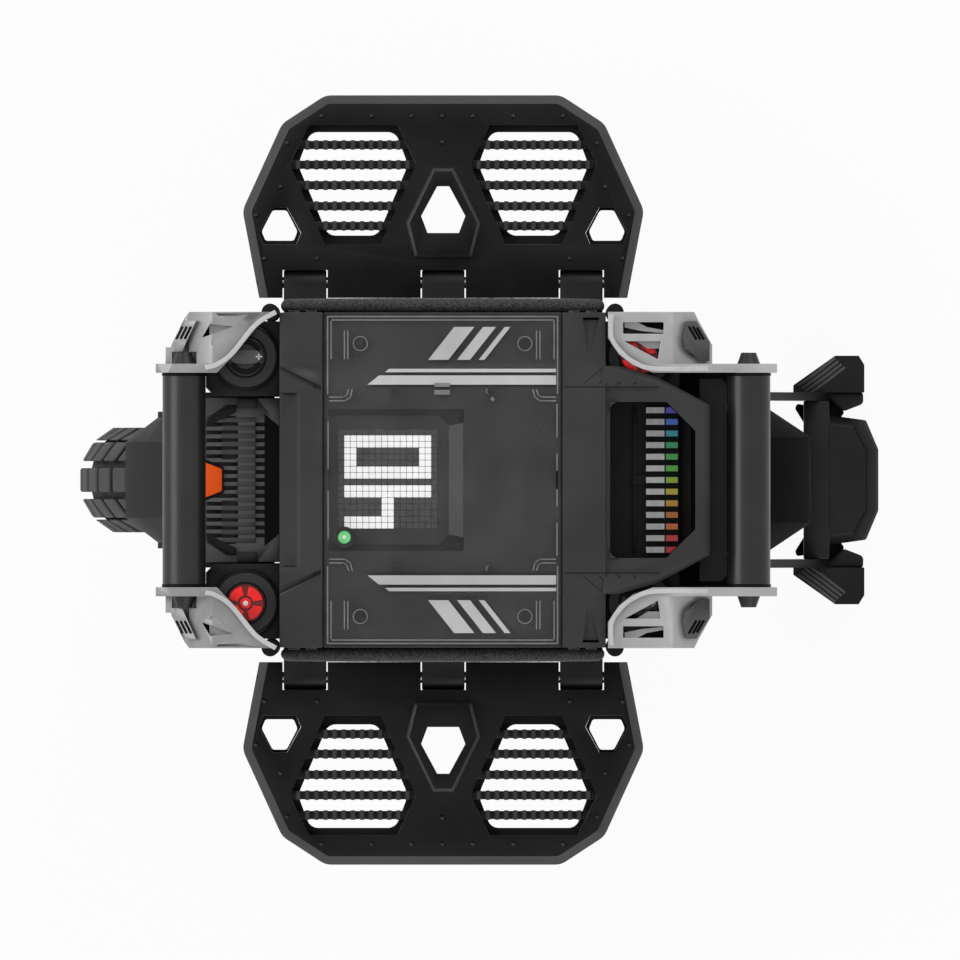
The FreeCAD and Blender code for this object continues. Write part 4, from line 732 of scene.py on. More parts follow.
beads = []
wide = coverShape["beadWide"]
for line in beadLines:
    for side in sides:
        points = flipped(line, side)
        for start, end in zip(points, points[1:]):
            beads.append(addFilm("bead", barOutline(start, end, wide, wide / 2), coverShape["beadHigh"]))
joined(beads, "coverBeads", "frame", "bead")
stripes = [addFilm("stripe", flipped(mark, side), coverShape["film"]) for mark in stripeMarks for side in sides]
joined(stripes, "coverStripes", "frame", "stripe")
latch = [addFilm("latchBar", rectangle(*bar), coverShape["latchHigh"]) for bar in coverShape["latch"]]
joined(latch, "coverLatch", "frame", "latch", 0.3)
dots = []
for x, y, radius in coverShape["dots"]:
    dots.append(addRod("dot", (x, y, coverTop - coverShape["dotLow"]), (x, y, coverTop + coverShape["dotHigh"]), radius,
                       24, radius * coverShape["dotTip"]))
for x, y in coverShape["bosses"]:
    dots.append(addTurned("bossRing", coverShape["bossRing"], (x, y, coverZ(y)), up, 40))
joined(dots, "coverScrewDots", "frame", "latch", 0)

# dark bezel round the green button, and the pale dot on it
buttonLow, buttonHigh = [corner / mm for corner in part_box("power_button")]
buttonAt = ((buttonLow.x + buttonHigh.x) / 2, (buttonLow.y + buttonHigh.y) / 2)
buttonShape = {"bezel": [(4.8, -1.2), (7.4, -1.2), (7.4, 0), (6.9, 0.3), (4.8, 0.3)], "dot": 1.3, "dotLow": 0.5,
               "dotHigh": 0.08}
bezel = addTurned("buttonBezel", buttonShape["bezel"], (*buttonAt, buttonHigh.z), up, 48)
placed(eased(bezel, 0, angle=30), "frame", "board")
dot = addRod("buttonDot", (*buttonAt, buttonHigh.z - buttonShape["dotLow"]),
             (*buttonAt, buttonHigh.z + buttonShape["dotHigh"]), buttonShape["dot"], 24)
placed(dot, "button", "mark")
print("display ready")


# pocket round the display: sloped walls under the clear cover, seen from above as rings at the floor and the top; the
# walls are painted shade, the rear wall dark grey, the side walls darker and the corners near black

pocketShape = {"floor": [(-79, 44.6), (-2.6, 44.6), (4.4, 37.6)], "top": [(-79, 48.6), (1.4, 48.6), (14.4, 39.6)],
               "floorUp": 0.05, "topDown": 0.4, "wall": 0.6}


def addPocketWall(name, first, second):      # a sloped wall between two places on the floor and the top
    lowZ = boardTop + pocketShape["floorUp"]
    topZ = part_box("top_panel")[1].z / mm - pocketShape["topDown"]
    (floorA, topA), (floorB, topB) = first, second
    ring = [(*floorA, lowZ), (*floorB, lowZ), (*topB, topZ), (*topA, topZ)]
    return pulled(addOutline(name, ring), (0, 0, -pocketShape["wall"]))


walls, corners, ends = [], [], []
for side in sides:
    front, middle, end = zip(flipped(pocketShape["floor"], side), flipped(pocketShape["top"], side))
    walls.append(addPocketWall("pocketWall", front, middle))
    corners.append(addPocketWall("pocketWall", middle, end))
    ends.append(end)
placed(addPocketWall("pocketRearWall", *ends), "frame", "pocket")
joined(walls, "pocketSideWalls", "frame", "ledge")
joined(corners, "pocketCorners", "frame", "shadow")

# fork adjuster knobs: a turned dial, on it raised quarters with a hexagonal pin, or a grip with a plus mark

knobShape = {"bore": 0.2, "radius": 13.2, "foot": 0.6, "rim": 0.8, "overlap": 0.2,
             "quarterRise": 1.6, "quarter": (5.4, 12), "quarterStart": 12, "quarterTurn": 66, "hub": 3.9,
             "hex": 2.0, "hexZ": (-0.3, 0.15), "hexEdge": 0.12,
             "gripRise": 2.6, "crescent": (8.4, 12.3), "crescentStarts": (24, 204), "crescentTurn": 132,
             "crescentZ": (-0.1, 0.25),
             "grip": [(-13, 0), (-8, 4.4), (0, 5.4), (8, 4.4), (13, 0), (8, -4.4), (0, -5.4), (-8, -4.4)],
             "plusX": 9.2, "plusReach": 2.1, "plusHalf": 0.375, "plusZ": (-0.3, -0.05)}
forkX, forkY = 136.5, 85.4


def sectorOutline(x, y, reach, start, turn, steps=10):
    inner, outer = reach
    turns = [math.radians(start + turn * index / steps) for index in range(steps + 1)]
    ring = [(x + outer * math.cos(turn), y + outer * math.sin(turn)) for turn in turns]
    return ring + [(x + inner * math.cos(turn), y + inner * math.sin(turn)) for turn in reversed(turns)]


def addDial(node, body, finishName, x, y, rise):      # the turned base of a knob, and its heights
    low, high = [corner.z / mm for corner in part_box(node)]
    top = high - rise
    bore, radius, foot, rim = pick(knobShape, "bore radius foot rim")
    profile = [(bore, low), (radius - foot, low), (radius, low + foot), (radius, top - rim), (radius - rim, top),
               (bore, top)]
    dial = eased(addTurned(node + ".dial", profile, (x, y, 0), up, 64), 0, angle=30)
    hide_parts(node)
    placed(dial, body, finishName)
    return top, high


def addDampingKnob(node, body, x, y):
    rise, reach, start, turn, overlap = pick(knobShape, "quarterRise quarter quarterStart quarterTurn overlap")
    top, high = addDial(node, body, "knobDark", x, y, rise)
    red = [addSlab("quarter", sectorOutline(x, y, reach, index * 90 + start, turn), top - overlap, high - overlap)
           for index in range(4)]
    red.append(addRod("hub", (x, y, top - overlap), (x, y, high), knobShape["hub"], 40))
    joined(red, node + ".quarters", body, "knobRed", 0.4)
    radius, (low, rise), edge = pick(knobShape, "hex hexZ hexEdge")
    hexPin = addRod(node + ".hex", (x, y, high + low), (x, y, high + rise), radius, 6)
    placed(eased(hexPin, edge), body, "mark")


def addPreloadKnob(node, body, x, y):
    reach, starts, turn, (low, rise) = pick(knobShape, "crescent crescentStarts crescentTurn crescentZ")
    top, high = addDial(node, body, "cap", x, y, knobShape["gripRise"])
    crescents = [addSlab("crescent", sectorOutline(x, y, reach, start, turn), top + low, top + rise)
                 for start in starts]
    joined(crescents, node + ".crescents", body, "shadow")
    overlap, reach, half, plusX, (low, rise) = pick(knobShape, "overlap plusReach plusHalf plusX plusZ")
    grip = addSlab(node + ".grip", [(x + a, y + b) for a, b in knobShape["grip"]], top - overlap, high - overlap)
    placed(eased(grip, 0.9, 3), body, "knobGrip")
    plus = [addBox("plus", (-a, -b, low), (a, b, rise), (x + plusX, y, high))
            for a, b in ((half, reach), (reach, half))]
    joined(plus, node + ".plus", body, "mark")


addDampingKnob("damping_knob_front_left", "damping_front_left", -forkX, -forkY)
addDampingKnob("damping_knob_rear_right", "damping_rear_right", forkX, forkY)
addPreloadKnob("preload_knob_front_right", "preload_front_right", -forkX, forkY)
addPreloadKnob("preload_knob_rear_left", "preload_rear_left", forkX, -forkY)

# dark ring grooves in the fork caps: inner and outer radius, and how far they stand up
capRings = {"deep": 0.4, "rings": [(21.2, 22.2, 0.12), (13.6, 14.8, 0.1)]}
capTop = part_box("fork_caps")[1].z / mm
rings = []
for x, y in [(x, y) for x in (-forkX, forkX) for y in (-forkY, forkY)]:
    for inner, outer, rise in capRings["rings"]:
        profile = [(inner, -capRings["deep"]), (outer, -capRings["deep"]), (outer, rise), (inner, rise)]
        rings.append(addTurned("capRing", profile, (x, y, capTop), up, 72))
joined(rings, "forkCapRings", "frame", "shadow")
print("pocket and knobs ready")


# pedals: knurled bars and grip studs

pedalShape = {"bars": (179, 193, 207.6, 222, 236), "windowX": 63.6, "barEnd": 1.5, "pitch": 6.42,
              "toothHalf": (1.85, 3.4), "toothZ": (196, 198.5), "inner": 128.3, "depth": 142.7, "halfLength": 141.4,
              "window": ((0.264, 0.139), (0.657, 0.315), (0.853, 0.219)), "stud": (2.1, 1.2), "studZ": (199.6, 201.7),
              "studs": [(-85.8, 256.5), (-50.4, 256.5), (-22.4, 256.5), (-0.7, 256.5), (21, 256.5), (49.4, 256.5),
                        (84.4, 256.5), (-0.7, 238), (-110, 237.3), (108.5, 237.3), (-114.8, 206.5), (114.1, 206.5),
                        (-132, 186.5), (131, 186.5), (-126, 156), (-89, 156), (89, 156), (126, 156)]}


def windowHalf(y):      # half the length of a hexagonal window at a place across the pedal
    share = (y - pedalShape["inner"]) / pedalShape["depth"]
    spots = pedalShape["window"]
    for (s0, w0), (s1, w1) in zip(spots, spots[1:]):
        if s0 <= share <= s1:
            return pedalShape["halfLength"] * (w0 + (w1 - w0) * (share - s0) / (s1 - s0))
    return 0


def addPedalGrip(node, side):
    pitch, windowX, (reach, wide), toothZ = pick(pedalShape, "pitch windowX toothHalf toothZ")
    teeth = []
    for y in pedalShape["bars"]:
        count = int(2 * (windowHalf(y) - pedalShape["barEnd"]) / pitch)
        for window in (-windowX, windowX):
            for index in range(count):
                place = (window + (index - (count - 1) / 2) * pitch, side * y, 0)
                teeth.append(addBox("tooth", (-reach, -wide, toothZ[0]), (reach, wide, toothZ[1]), place))
    joined(teeth, node + ".knurl", node, "pedalTeeth", 0.7, 1)
    (radius, tip), (low, high) = pick(pedalShape, "stud studZ")
    studs = [addRod("stud", (x, y, low), (x, y, high), radius, 12, tip) for x, y in flipped(pedalShape["studs"], side)]
    joined(studs, node + ".studs", node, "bolt", 0.25, 1)


# dark ledges inside the windows: middle, then half lengths and places across the pedal, outside and inside
ledgeShape = {"low": 183, "high": 190, "round": 5, "roundShare": 0.3, "past": 3,
              "slanted": (0.25, 0.93),
              "rings": [(63.6, [(19.8, 165.9), (44.7, 222.05), (31.1, 250.1)],
                         [(17.5, 172.2), (38.8, 222), (30, 245.1)]),
                        (115.3, [(11.6, 165.9), (14.9, 174), (5.1, 192)],
                         [(10.0, 168.6), (12.6, 175.2), (4.9, 190)])]}


def hexagon(half, middle):
    return [(middle + x, y) for x, y in half] + [(middle - x, y) for x, y in half[::-1]]


def addLedge(middle, outer, inner):
    low, high, past = pick(ledgeShape, "low high past")
    ring = addSlab("ledge", hexagon(outer, middle), low, high)
    hole = addSlab("hole", hexagon(inner, middle), low - past, high + past)
    pickOnly(hole)
    bpy.ops.object.mode_set(mode="EDIT")
    bpy.ops.mesh.select_mode(type="EDGE")
    bpy.ops.mesh.select_all(action="DESELECT")
    bpy.ops.object.mode_set(mode="OBJECT")
    for edge in hole.data.edges:
        start, end = (hole.data.vertices[index].co for index in edge.vertices)
        edge.select = abs(start.z - end.z) > mm
    bpy.ops.object.mode_set(mode="EDIT")
    width = min(ledgeShape["round"], inner[2][0] * ledgeShape["roundShare"])
    bpy.ops.mesh.bevel(offset=width * mm, segments=4, affect="EDGES")
    bpy.ops.mesh.select_mode(type="VERT")
    bpy.ops.object.mode_set(mode="OBJECT")
    return cutBy(ring, [hole])


def edgeTinted(obj, finishName, low, high):     # faces that slant within a range take a second finish
    obj.data.materials.append(finishes[finishName])
    for face in obj.data.polygons:
        if low < face.normal.z < high:
            face.material_index = len(obj.data.materials) - 1


rings = []
for middle, outer, inner in ledgeShape["rings"]:
    rings.append(addLedge(middle, outer, inner))
    rings.append(mirrored(rings[-1], "ledge", (-1, 1, 1)))
rightLedges = eased(gathered(rings, "pedal_right.ledges"), 0.15, 1)
placed(mirrored(rightLedges, "pedal_left.ledges"), "pedal_left", "rubber")
placed(rightLedges, "pedal_right", "rubber")
# the slanted faces of the pedals take the paler finish as a painted highlight
for node, side in (("pedal_right", 1), ("pedal_left", -1)):
    edgeTinted(rounded[node], "pedalEdgeHighlight", *ledgeShape["slanted"])
    addPedalGrip(node, side)
print("pedal grip ready")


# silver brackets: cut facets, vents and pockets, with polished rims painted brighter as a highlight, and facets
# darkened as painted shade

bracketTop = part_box("front_bracket_right")[1].z / mm
bracketShape = {"slopeStart": 159.5, "slopeFall": 0.785, "cutHigh": 20, "rimLow": 1.6, "rimHigh": 0.25,
                "plate": (-3, 0.4), "ventWide": 1.8, "ventFloor": (-1.2, -0.6), "ventCut": (-0.9, 3), "floorThick": 2}
frontTrim = {"facetSpot": (-175.1, 101.6), "facetOut": (-0.876, 0.482), "slope": 27, "inward": -1,
             "plate": [(-186.4, 94.4), (-178, 110.4), (-170.6, 110.4), (-180.4, 89), (-186.4, 89)],
             "plateFinish": "silverShaded",
             "vents": [[(-180, 106.2), (-184.4, 97.6)], [(-177.1, 106.2), (-181.5, 97.6)],
                       [(-174.2, 106.2), (-178.6, 97.6)]],
             "cuts": [([(-172, 88), (-167.8, 92.3), (-154.2, 94.8), (-156.5, 91), (-161, 86.4), (-169, 86)], 1.8),
                      ([(-157, 115.3), (-133, 115.3), (-137, 113.2), (-155, 113.6)], 5)],
             "floors": [(rectangle(-161.5, 109.4, -142, 99), 703, "silver_cast", "silver"),
                        (rectangle(-171, 110, -161.5, 96), 687, "black_metal", "shadow")],
             "sweep": [(-114.6, 114.8), (-128.4, 106.1), (-144.9, 86.1), (-156.3, 78.2), (-164, 76.2)],
             "sweepWide": 3.4}
rearTrim = {"facetSpot": (180.5, 104), "facetOut": (0.80, 0.60), "slope": 24, "inward": 1,
            "plate": [(168.8, 109.9), (176, 109.9), (185, 95.4), (185, 82.4), (178.4, 82.6), (167.4, 91.4),
                      (166.2, 98.7)],
            # the vent facet is darkened as painted shade
            "plateFinish": "ventShadedGrey",
            "vents": [[(170.4, 106.4), (175.8, 97.2)], [(173.2, 106.4), (178.6, 97.2)], [(176, 105.6), (181, 97.2)]],
            "cuts": [],
            "floors": [([(126, 110), (133.4, 110), (141.5, 105.9), (153, 103.8), (153, 101.6), (137.5, 103.2),
                         (126, 105.6)], 704, "silver_cast", "silver"),
                       ([(132.6, 97), (152.6, 97), (152.6, 91), (142, 91)], 706, "silver_cast", "silverShaded")],
            "sweep": [(115.4, 114.6), (115.4, 98.4), (122.6, 87.3), (132.2, 80), (146, 75.6), (184, 75.6)],
            "sweepWide": 3.2}


def slopePlate(name, points, low, high):        # a slab that lies on the top, which falls away towards its end
    def topAt(x):
        return bracketTop - max(abs(x) - bracketShape["slopeStart"], 0) * bracketShape["slopeFall"]
    return pulled(addOutline(name, [(x, y, topAt(x) + low) for x, y in points]), (0, 0, high - low))


def slicedOff(obj, spot, out, slope):       # a slanted facet: what lies past the plane comes off
    tilt = math.radians(slope)
    normal = Vector((out[0] * math.sin(tilt), out[1] * math.sin(tilt), math.cos(tilt)))
    editAll(obj)
    bpy.ops.mesh.bisect(plane_co=Vector((*spot, bracketTop)) * mm, plane_no=normal, use_fill=True, clear_outer=True)
    bpy.ops.object.mode_set(mode="OBJECT")


def smoothLine(points, steps=6):       # a rounded line through the points
    spots = [Vector(points[0])] + [Vector(spot) for spot in points] + [Vector(points[-1])]
    line = []
    for before, start, end, after in zip(spots, spots[1:], spots[2:], spots[3:]):
        for step in range(steps):
            t = step / steps
            line.append(0.5 * (2 * start + (end - before) * t + (2 * before - 5 * start + 4 * end - after) * t * t
                               + (3 * start - before - 3 * end + after) * t ** 3))
    return line + [spots[-1]]


def rimOutline(points, wide, inward):       # a band of even width beside a rounded line
    line = smoothLine(points)
    inner = []
    for index, spot in enumerate(line):
        along = (line[min(index + 1, len(line) - 1)] - line[max(index - 1, 0)]).normalized()
        inner.append(spot + Vector((-along.y, along.x)) * wide * inward)
    return line + inner[::-1]


def trimBracket(node, trim, side):
    bracket = rounded[node]
    spot, out = flipped([trim["facetSpot"], trim["facetOut"]], side)
    slicedOff(bracket, spot, out, trim["slope"])
    cutBy(bracket, [slopePlate("cut", flipped(outline, side), -depth, bracketShape["cutHigh"])
                    for outline, depth in trim["cuts"]])
    eased(bracket, 0, angle=30)
    # the rim along the sweep is a polished edge with a painted highlight
    outline = rimOutline(trim["sweep"], trim["sweepWide"], trim["inward"])
    rim = addSlab(node + ".rim", flipped(outline, side), bracketTop - bracketShape["rimLow"],
                  bracketTop + bracketShape["rimHigh"])
    placed(eased(rim, 0.3), "frame", "silverEdgeHighlight")
    plate = slopePlate(node + ".plate", flipped(trim["plate"], side), *bracketShape["plate"])
    slots = []
    for vent in trim["vents"]:
        ring = barOutline(*flipped(vent, side), bracketShape["ventWide"])
        slots.append(slopePlate("slot", ring, *bracketShape["ventFloor"]))
        cutBy(plate, [slopePlate("cut", ring, *bracketShape["ventCut"])])
    placed(eased(plate, 0.3), "frame", trim["plateFinish"])
    joined(slots, node + ".vents", "frame", "shadow")
    for index, (ring, high, slot, finishName) in enumerate(trim["floors"]):
        floor = addSlab(node + ".floor" + str(index), flipped(ring, side), high - bracketShape["floorThick"], high)
        placed(floor, "frame", finishName)


for end, trim in (("front", frontTrim), ("rear", rearTrim)):
    trimBracket(end + "_bracket_right", trim, 1)
    trimBracket(end + "_bracket_left", trim, -1)

# collars where the bars meet their plates
collarShape = {"places": [(-179, 695), (212, 695)], "y": 74.1,
               "profile": [(13, 0), (15.5, 0), (15.5, 1.6), (14.9, 2.2), (13, 2.2)]}
collars = [addTurned("collar", collarShape["profile"], (x, side * collarShape["y"], z), (0, -side, 0), 64)
           for x, z in collarShape["places"] for side in sides]
joined(collars, "barCollars", "frame", "shadow", 0, angle=30)
print("brackets ready")


# rear cover: scoops that deepen towards their wide end, panel lines with their width and rise

rearShape = {"scoop": [(97, 112.5, -3.2), (108.5, 112.5, -3.2), (101, 83, 0.5)], "scoopHigh": 30, "lineDeep": 0.3,
             "lines": [((97, 66.2), (112, 79), 0.45, 0.06), ((108, 66.2), (121, 77.6), 0.45, 0.06),
                       ((121, 66.2), (131, 75), 0.45, 0.06), ((132, 66.2), (140, 73), 0.45, 0.06),
                       ((84, 64.4), (150, 64.4), 0.7, 0.1)]}
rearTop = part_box("rear_top_cover")[1].z / mm


def rearZ(y):
    return coverZ(y) + rearTop - coverTop


cutters, seams = [], []
for side in sides:
    ring = [(x, side * y, rearZ(y) + rise) for x, y, rise in rearShape["scoop"]]
    cutters.append(pulled(addOutline("scoop", ring), (0, 0, rearShape["scoopHigh"])))
    for start, end, wide, rise in rearShape["lines"]:
        ring = barOutline(*flipped([start, end], side), wide)
        seams.append(addFilm("seam", ring, rearShape["lineDeep"] + rise, rearZ, rearShape["lineDeep"]))
eased(cutBy(rounded["rear_top_cover"], cutters), 0, angle=30)
joined(seams, "rearSeams", "frame", "shadow")

# the recess has round corners towards the middle of the body
cornerShape = {"x": 115.6, "y": 53.9, "radius": 6, "deep": 4, "down": 0.1}
x, y, radius = cornerShape["x"], cornerShape["y"], cornerShape["radius"]
turns = [math.radians(angle) for angle in range(0, 91, 15)]
ring = [(x, y)] + [(x + radius * (1 - math.cos(turn)), y - radius * (1 - math.sin(turn))) for turn in turns]
joined(slabPair("corner", ring, rearZ(y) - cornerShape["deep"], rearZ(y) - cornerShape["down"]), "recessCorners",
       "frame", "shell")

# tail light: bars in two tones, and a tray with ribs, a sloped end and dark gaps between guides and lenses
tailShape = {"bars": 13, "pitch": 8.06, "splitX": 154.2, "gap": [(153.6, -2.3, -1), (154.8, 2.3, 0.1)],
             "ribs": [[(131, -3.4, -0.5), (140.6, 3.4, 4)], [(131.6, -50, -0.5), (134.4, 50, 2.4)]],
             "slope": [(163.4, -46, 0), (163.4, 46, 0), (172, 36, 16), (172, -36, 16)], "slopeThick": 0.8}
bars, pitch = pick(tailShape, "bars pitch")
lightTop, trayTop = [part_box(node)[1].z / mm for node in ("tail_light_bars", "tail_light_tray")]
dressed(nodes["tail_light_bars"], makeLampColours(bars / 2 * pitch, tailShape["splitX"]))
ribs = [addBox("trayRib", *rib, (0, 0, trayTop)) for rib in tailShape["ribs"]]
slope = addOutline("traySlope", [(x, y, trayTop + rise) for x, y, rise in tailShape["slope"]])
ribs.append(pulled(slope, (0, 0, -tailShape["slopeThick"])))
for index in range(bars):
    ribs.append(addBox("gap", *tailShape["gap"], (0, (index - (bars - 1) / 2) * pitch, lightTop)))
joined(ribs, "trayRibs", "frame", "ledge", 0.4)

# apron between the hood and the fork bridge, black as painted shade
apronShape = {"outline": [(150, 52), (150, 66), (156, 70), (156, 76.6), (199, 76.6), (199, 60), (184, 52)],
              "low": 636, "high": 641}
aprons = slabPair("apron", *pick(apronShape, "outline low high"))
joined(aprons, "rearAprons", "frame", "guardShadedBlack", 0.8)
print("rear cover ready")


# parking stand: wing skirts, webs and hooks black as painted shade, a rim on the heel (each with its low and high), and
# foot ribs

standShape = {"skirt": ([(268, 62.6), (297.2, 62.6), (297.4, 54), (283, 48.4)], 22, 41),
              "web": ([(258, 61.8), (258, 33), (274, 33), (284, 48), (270, 63.5)], 24, 36),
              "hook": ([(257, 53), (250.4, 54), (249, 50.6), (252.4, 45), (257, 37.6)], 26, 33),
              "rim": ([(297.2, 42.8), (306.6, 22), (306.6, -22), (297.2, -42.8), (290, -38.6), (299.4, -20.8),
                       (299.4, 20.8), (290, 38.6)], 42, 45),
              "rib": ((251.4, 66.4), (277.4, 86.2)), "ribs": 4, "ribStep": (2.3, -2.1), "ribWide": 0.8,
              "ribDeep": 8, "ribRise": 0.8}
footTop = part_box("stand_feet")[1].z / mm
skirts, webs, hooks = [slabPair(key, *standShape[key]) for key in ("skirt", "web", "hook")]
ribs = []
across = Vector((standShape["ribWide"], -standShape["ribWide"]))
for index in range(standShape["ribs"]):
    start, end = [Vector(spot) + Vector(standShape["ribStep"]) * index for spot in standShape["rib"]]
    ring = [start - across, start + across, end + across, end - across]
    ribs += slabPair("rib", ring, footTop - standShape["ribDeep"], footTop + standShape["ribRise"])
joined(skirts, "standSkirts", "stand", "foot", 2.4, 3)
joined(webs + hooks, "standWebs", "stand", "guardShadedBlack", 1.2)
joined(ribs, "standFootRibs", "stand", "footRib", 0.5)
placed(eased(addSlab("standHeelRim", *standShape["rim"]), 0.8), "stand", "guard")
print("stand ready")


# headlight block: arms, end blocks and the dark gap behind the fins, each with its depth, rise, finish and edge

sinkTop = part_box("headlight_block")[1].z / mm
sinkParts = {"sinkArms": ([(-163.6, 43), (-150.2, 52), (-142.7, 52), (-143.2, 47.2), (-163.6, 37)], 2, 2.2, "casting",
                          0.7),
             "sinkEnds": ([(-142.2, 50), (-128.8, 50), (-128.8, 56.8), (-142.2, 56.8)], 2, 3.2, "pocket", 0.6),
             "sinkWedges": ([(-128.6, 56.8), (-113.4, 56.8), (-113.4, 37)], 2, 2.6, "sink", 0.5),
             "sinkGap": ([(-123.6, 46), (-113.3, 37), (-113.3, 0), (-123.6, 0)], 1, 0.12, "shadow", None)}
for name, (outline, deep, rise, finishName, edge) in sinkParts.items():
    joined(slabPair("part", outline, sinkTop - deep, sinkTop + rise), name, "frame", finishName, edge)

# ribs over the middle of the block with a bed between them darkened as painted shade, and a black ring round the orange
# trim as painted shade
ribShape = {"pitch": 5.56, "rows": 8, "half": 1.65, "front": -153.2, "frontMiddle": -143.4, "rear": -129.4,
            "middleRows": 2.6, "ribZ": (-0.5, 0.9), "bed": (14.2, 44.5), "bedZ": (-3, 0.1),
            "trimShadow": [(-166, 14.9), (-151.8, 8.9), (-151.8, -8.9), (-166, -14.9)], "trimShadowZ": (-1, 0.35)}
ribs = []
front, frontMiddle, half, (low, rise) = pick(ribShape, "front frontMiddle half ribZ")
for index in range(-ribShape["rows"], ribShape["rows"]):
    row = index + 0.5
    start = frontMiddle if abs(row) < ribShape["middleRows"] else front
    place = (0, row * ribShape["pitch"], sinkTop)
    ribs.append(addBox("rib", (start, -half, low), (ribShape["rear"], half, rise), place))
joined(ribs, "sinkRibs", "frame", "sinkRib", 0.4)
(near, far), (low, rise) = pick(ribShape, "bed bedZ")
joined(boxPair("bed", (front, near, sinkTop + low), (frontMiddle, far, sinkTop + rise)), "sinkBeds", "frame",
       "casting", 0.2)
# a black ring round the orange trim, painted shade in its joint
trimShadow = addSlab("trimShadowRing", ribShape["trimShadow"], *[sinkTop + z for z in ribShape["trimShadowZ"]])
placed(eased(trimShadow, 0.15), "frame", "shadow")

# strips that close the slots beside the block, and floors under the bar-end caps
sideShape = {"strip": [(-166, 56.4, 641), (-116.6, 60.8, 646)], "floor": [(-192, 80.4, 684.4), (-165.5, 92, 686.2)]}
joined(boxPair("strip", *sideShape["strip"]), "sinkSideStrips", "frame", "casting", 0.5)
joined(boxPair("floor", *sideShape["floor"]), "capFloors", "frame", "silver", 0.4)

# front cover: slanted grooves at the shoulders
grooveShape = {"outline": [(-113.5, 79), (-113.5, 74.4), (-84.2, 62), (-84.2, 65)], "deep": 2.2, "high": 20}
grooves = [addFilm("groove", flipped(grooveShape["outline"], side), grooveShape["high"], coverZ, grooveShape["deep"])
           for side in sides]
eased(cutBy(rounded["front_top_cover"], grooves), 0, angle=30)

# pedal hinges: strips under the knuckles
hingeShape = {"places": (-97.3, 0, 97.3), "half": 14.6, "near": 145, "far": 151.5, "low": 180.6, "high": 181.5}
half, near, far, low, high = pick(hingeShape, "half near far low high")
for side, name in ((1, "hingeStripsRight"), (-1, "hingeStripsLeft")):
    strips = [addSlab("strip", flipped(rectangle(x - half, near, x + half, far), side), low, high)
              for x in hingeShape["places"]]
    joined(strips, name, "frame", "casting", 0.2)
edgeTinted(rounded["headlight_block"], "casting", -2, 0.9)      # all but the level top take the darker finish as painted shade
print("front ready")


# sides: gaskets in the cover joints, bolts, hub ribs, lamp and port details

def touch(obj, x, z):     # where a straight line from the right first meets a piece
    hit, spot, normal, face = obj.ray_cast(Vector((x, 300, z)) * mm, Vector((0, -1, 0)))
    return spot / mm if hit else None


gasketShape = {"near": 82.1, "far": 83.3, "half": 115.2, "foot": 630.5, "drop": 1.2,
               "steps": [115.2, 105, 92, 80, 70, 60, 48, 30, 12]}
arch = [(gasketShape["half"], gasketShape["foot"])]
arch += [(y, coverZ(y) - gasketShape["drop"]) for y in gasketShape["steps"]]
arch += [(-y, z) for y, z in arch[::-1]]
gaskets = []
for end in (1, -1):
    band = addOutline("gasket", [(end * gasketShape["near"], y, z) for y, z in arch])
    gaskets.append(pulled(band, (end * (gasketShape["far"] - gasketShape["near"]), 0, 0)))
joined(gaskets, "coverGaskets", "frame", "rubber")

boltShape = {"profile": [(0, 0.5), (1.7, 0.5), (2.0, 1.5), (3.4, 1.5), (3.9, 1.0), (3.9, -0.8), (0, -0.8)],
             "hanger_right": [(-98, 412), (0, 412), (98, 412), (-96, 330), (96, 330), (-92, 222), (92, 222)],
             "front_top_cover": [(-103, 652), (-91, 652)], "rear_top_cover": [(91, 652), (103, 652)]}
heads = []
for node in ("hanger_right", "front_top_cover", "rear_top_cover"):
    for x, z in boltShape[node]:
        spot = touch(rounded[node], x, z)
        if spot:
            heads.append(addTurned("bolt", boltShape["profile"], spot, (0, 1, 0), 16))
right = eased(gathered(heads, "sideBoltsRight"), 0, angle=40)
placed(mirrored(right, "sideBoltsLeft"), "frame", "bolt")
placed(right, "frame", "bolt")
print("side bolts", len(heads))

# hub covers: short ribs and a turned ring
hubShape = {"axleZ": 256, "ribs": 20, "start": 15, "near": 100, "far": 148, "wide": 4.4, "deep": 0.6, "rise": 0.9,
            "ring": (156.5, 158, 159.5), "ringRise": 0.4}
axleZ, count, near, far, wide, deep = pick(hubShape, "axleZ ribs near far wide deep")
ribs = []
hub = nodes["hub_covers"]
for index in range(count):
    turn = math.radians(index * 360 / count + hubShape["start"])
    along = Vector((math.cos(turn), math.sin(turn)))
    spots = [touch(hub, flat.x, axleZ + flat.y) for flat in barOutline(along * near, along * far, wide)]
    if all(spots):
        ring = [spot - Vector((0, deep, 0)) for spot in spots]
        ribs.append(pulled(addOutline("rib", ring), (0, deep + hubShape["rise"], 0)))
(inner, middle, outer), rise = pick(hubShape, "ring ringRise")
spot = touch(hub, middle, axleZ)
if spot:
    ribs.append(addTurned("turned", rectangle(inner, -rise, outer, rise), (0, spot.y, axleZ), (0, 1, 0), 96))
right = eased(gathered(ribs, "hubRibsRight"), 0.3)
placed(mirrored(right, "hubRibsLeft"), "wheel", "hub")
placed(right, "wheel", "hub")
print("hub ribs", len(ribs))

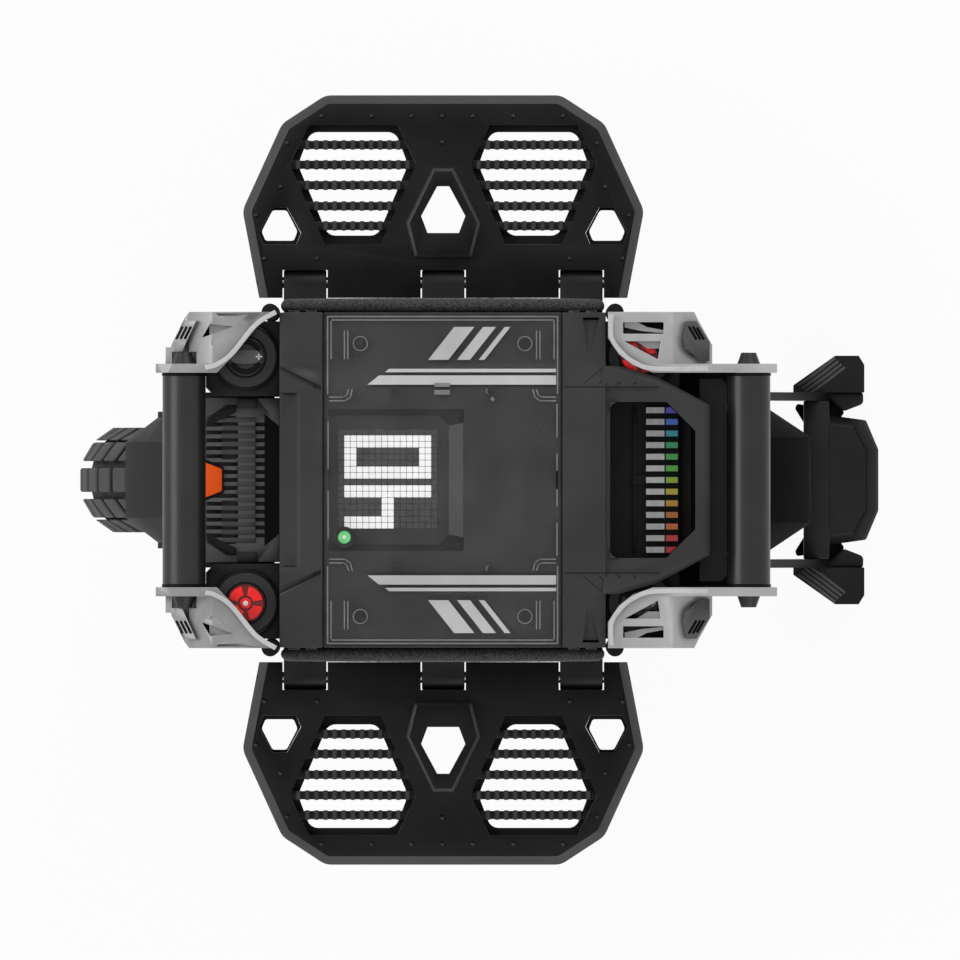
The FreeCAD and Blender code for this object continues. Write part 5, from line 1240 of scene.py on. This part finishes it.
# headlight: two projectors behind their rings, and a strip between them
lampShape = {"x": -186.3, "y": 17.6, "z": 622.7, "strip": [(-0.5, -4.5, -11), (0.5, 4.5, 11)],
             "ring": [(7.2, -0.4), (10, -0.4), (10, 0.7), (9.2, 1.2), (7.8, 1.0), (7.2, 0.3)],
             "dome": [(0, 1.0), (2.6, 0.9), (5.2, 0.5), (7.1, -0.2), (7.1, -0.4), (0, -0.4)]}
rings, domes = [], []
for side in sides:
    middle = (lampShape["x"], side * lampShape["y"], lampShape["z"])
    rings.append(addTurned("ring", lampShape["ring"], middle, (-1, 0, 0), 48))
    domes.append(addTurned("dome", lampShape["dome"], middle, (-1, 0, 0), 48))
rings.append(addBox("strip", *lampShape["strip"], (lampShape["x"], 0, lampShape["z"])))
joined(rings, "lampRings", "frame", "casting", 0.2)
joined(domes, "lampDomes", "frame", "guide", 0, angle=40)

# charge port: two rubber plugs with their tabs
plugShape = {"y": 36, "deep": 0.6, "tab": [(0, -2.4, -13), (1.8, 2.4, -6)],
             "profile": [(0, 2.2), (6.6, 2.2), (8.6, 1.4), (9.4, 0.2), (9.4, -0.4), (0, -0.4)]}
portLow, portHigh = [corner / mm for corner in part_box("charge_port")]
plugs = []
for side in sides:
    middle = (portHigh.x - plugShape["deep"], side * plugShape["y"], (portLow.z + portHigh.z) / 2)
    plugs.append(addTurned("plug", plugShape["profile"], middle, (1, 0, 0), 40))
    plugs.append(addBox("tab", *plugShape["tab"], middle))
joined(plugs, "portPlugs", "frame", "rubber", 0.4)
print("sides ready")


# fork springs: wound wire in two legs

springShape = {"reach": 12.1, "wire": 1.6, "sides": 8, "turns": 22, "steps": 14, "low": 288, "high": 686, "travel": 100,
               "places": [(-forkX, forkY), (forkX, -forkY)]}
wire, turns, steps, low, high = pick(springShape, "wire turns steps low high")
springLong = high - low
bpy.ops.object.select_all(action="DESELECT")
bpy.ops.mesh.primitive_circle_add(vertices=springShape["sides"], radius=wire * mm,
                                  location=(springShape["reach"] * mm, 0, 0), rotation=(math.radians(90), 0, 0))
coil = settle(bpy.context.object, "coil")
applied(coil, "SCREW", axis="Z", angle=math.tau, iterations=turns, steps=steps, render_steps=steps,
        screw_offset=(springLong - 2 * wire) / turns * mm)
editAll(coil)
bpy.ops.mesh.fill_holes(sides=0)
facedOut(coil)
springs = [copied(coil, "spring", Matrix.Translation(Vector((x, y, low + wire)) * mm))
           for x, y in springShape["places"]]
bpy.data.objects.remove(coil)
springs = eased(gathered(springs, "fork_springs.wound"), 0, angle=50)
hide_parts("fork_springs")
placed(springs, "frame", "steel")
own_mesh(springs)
print("springs ready")
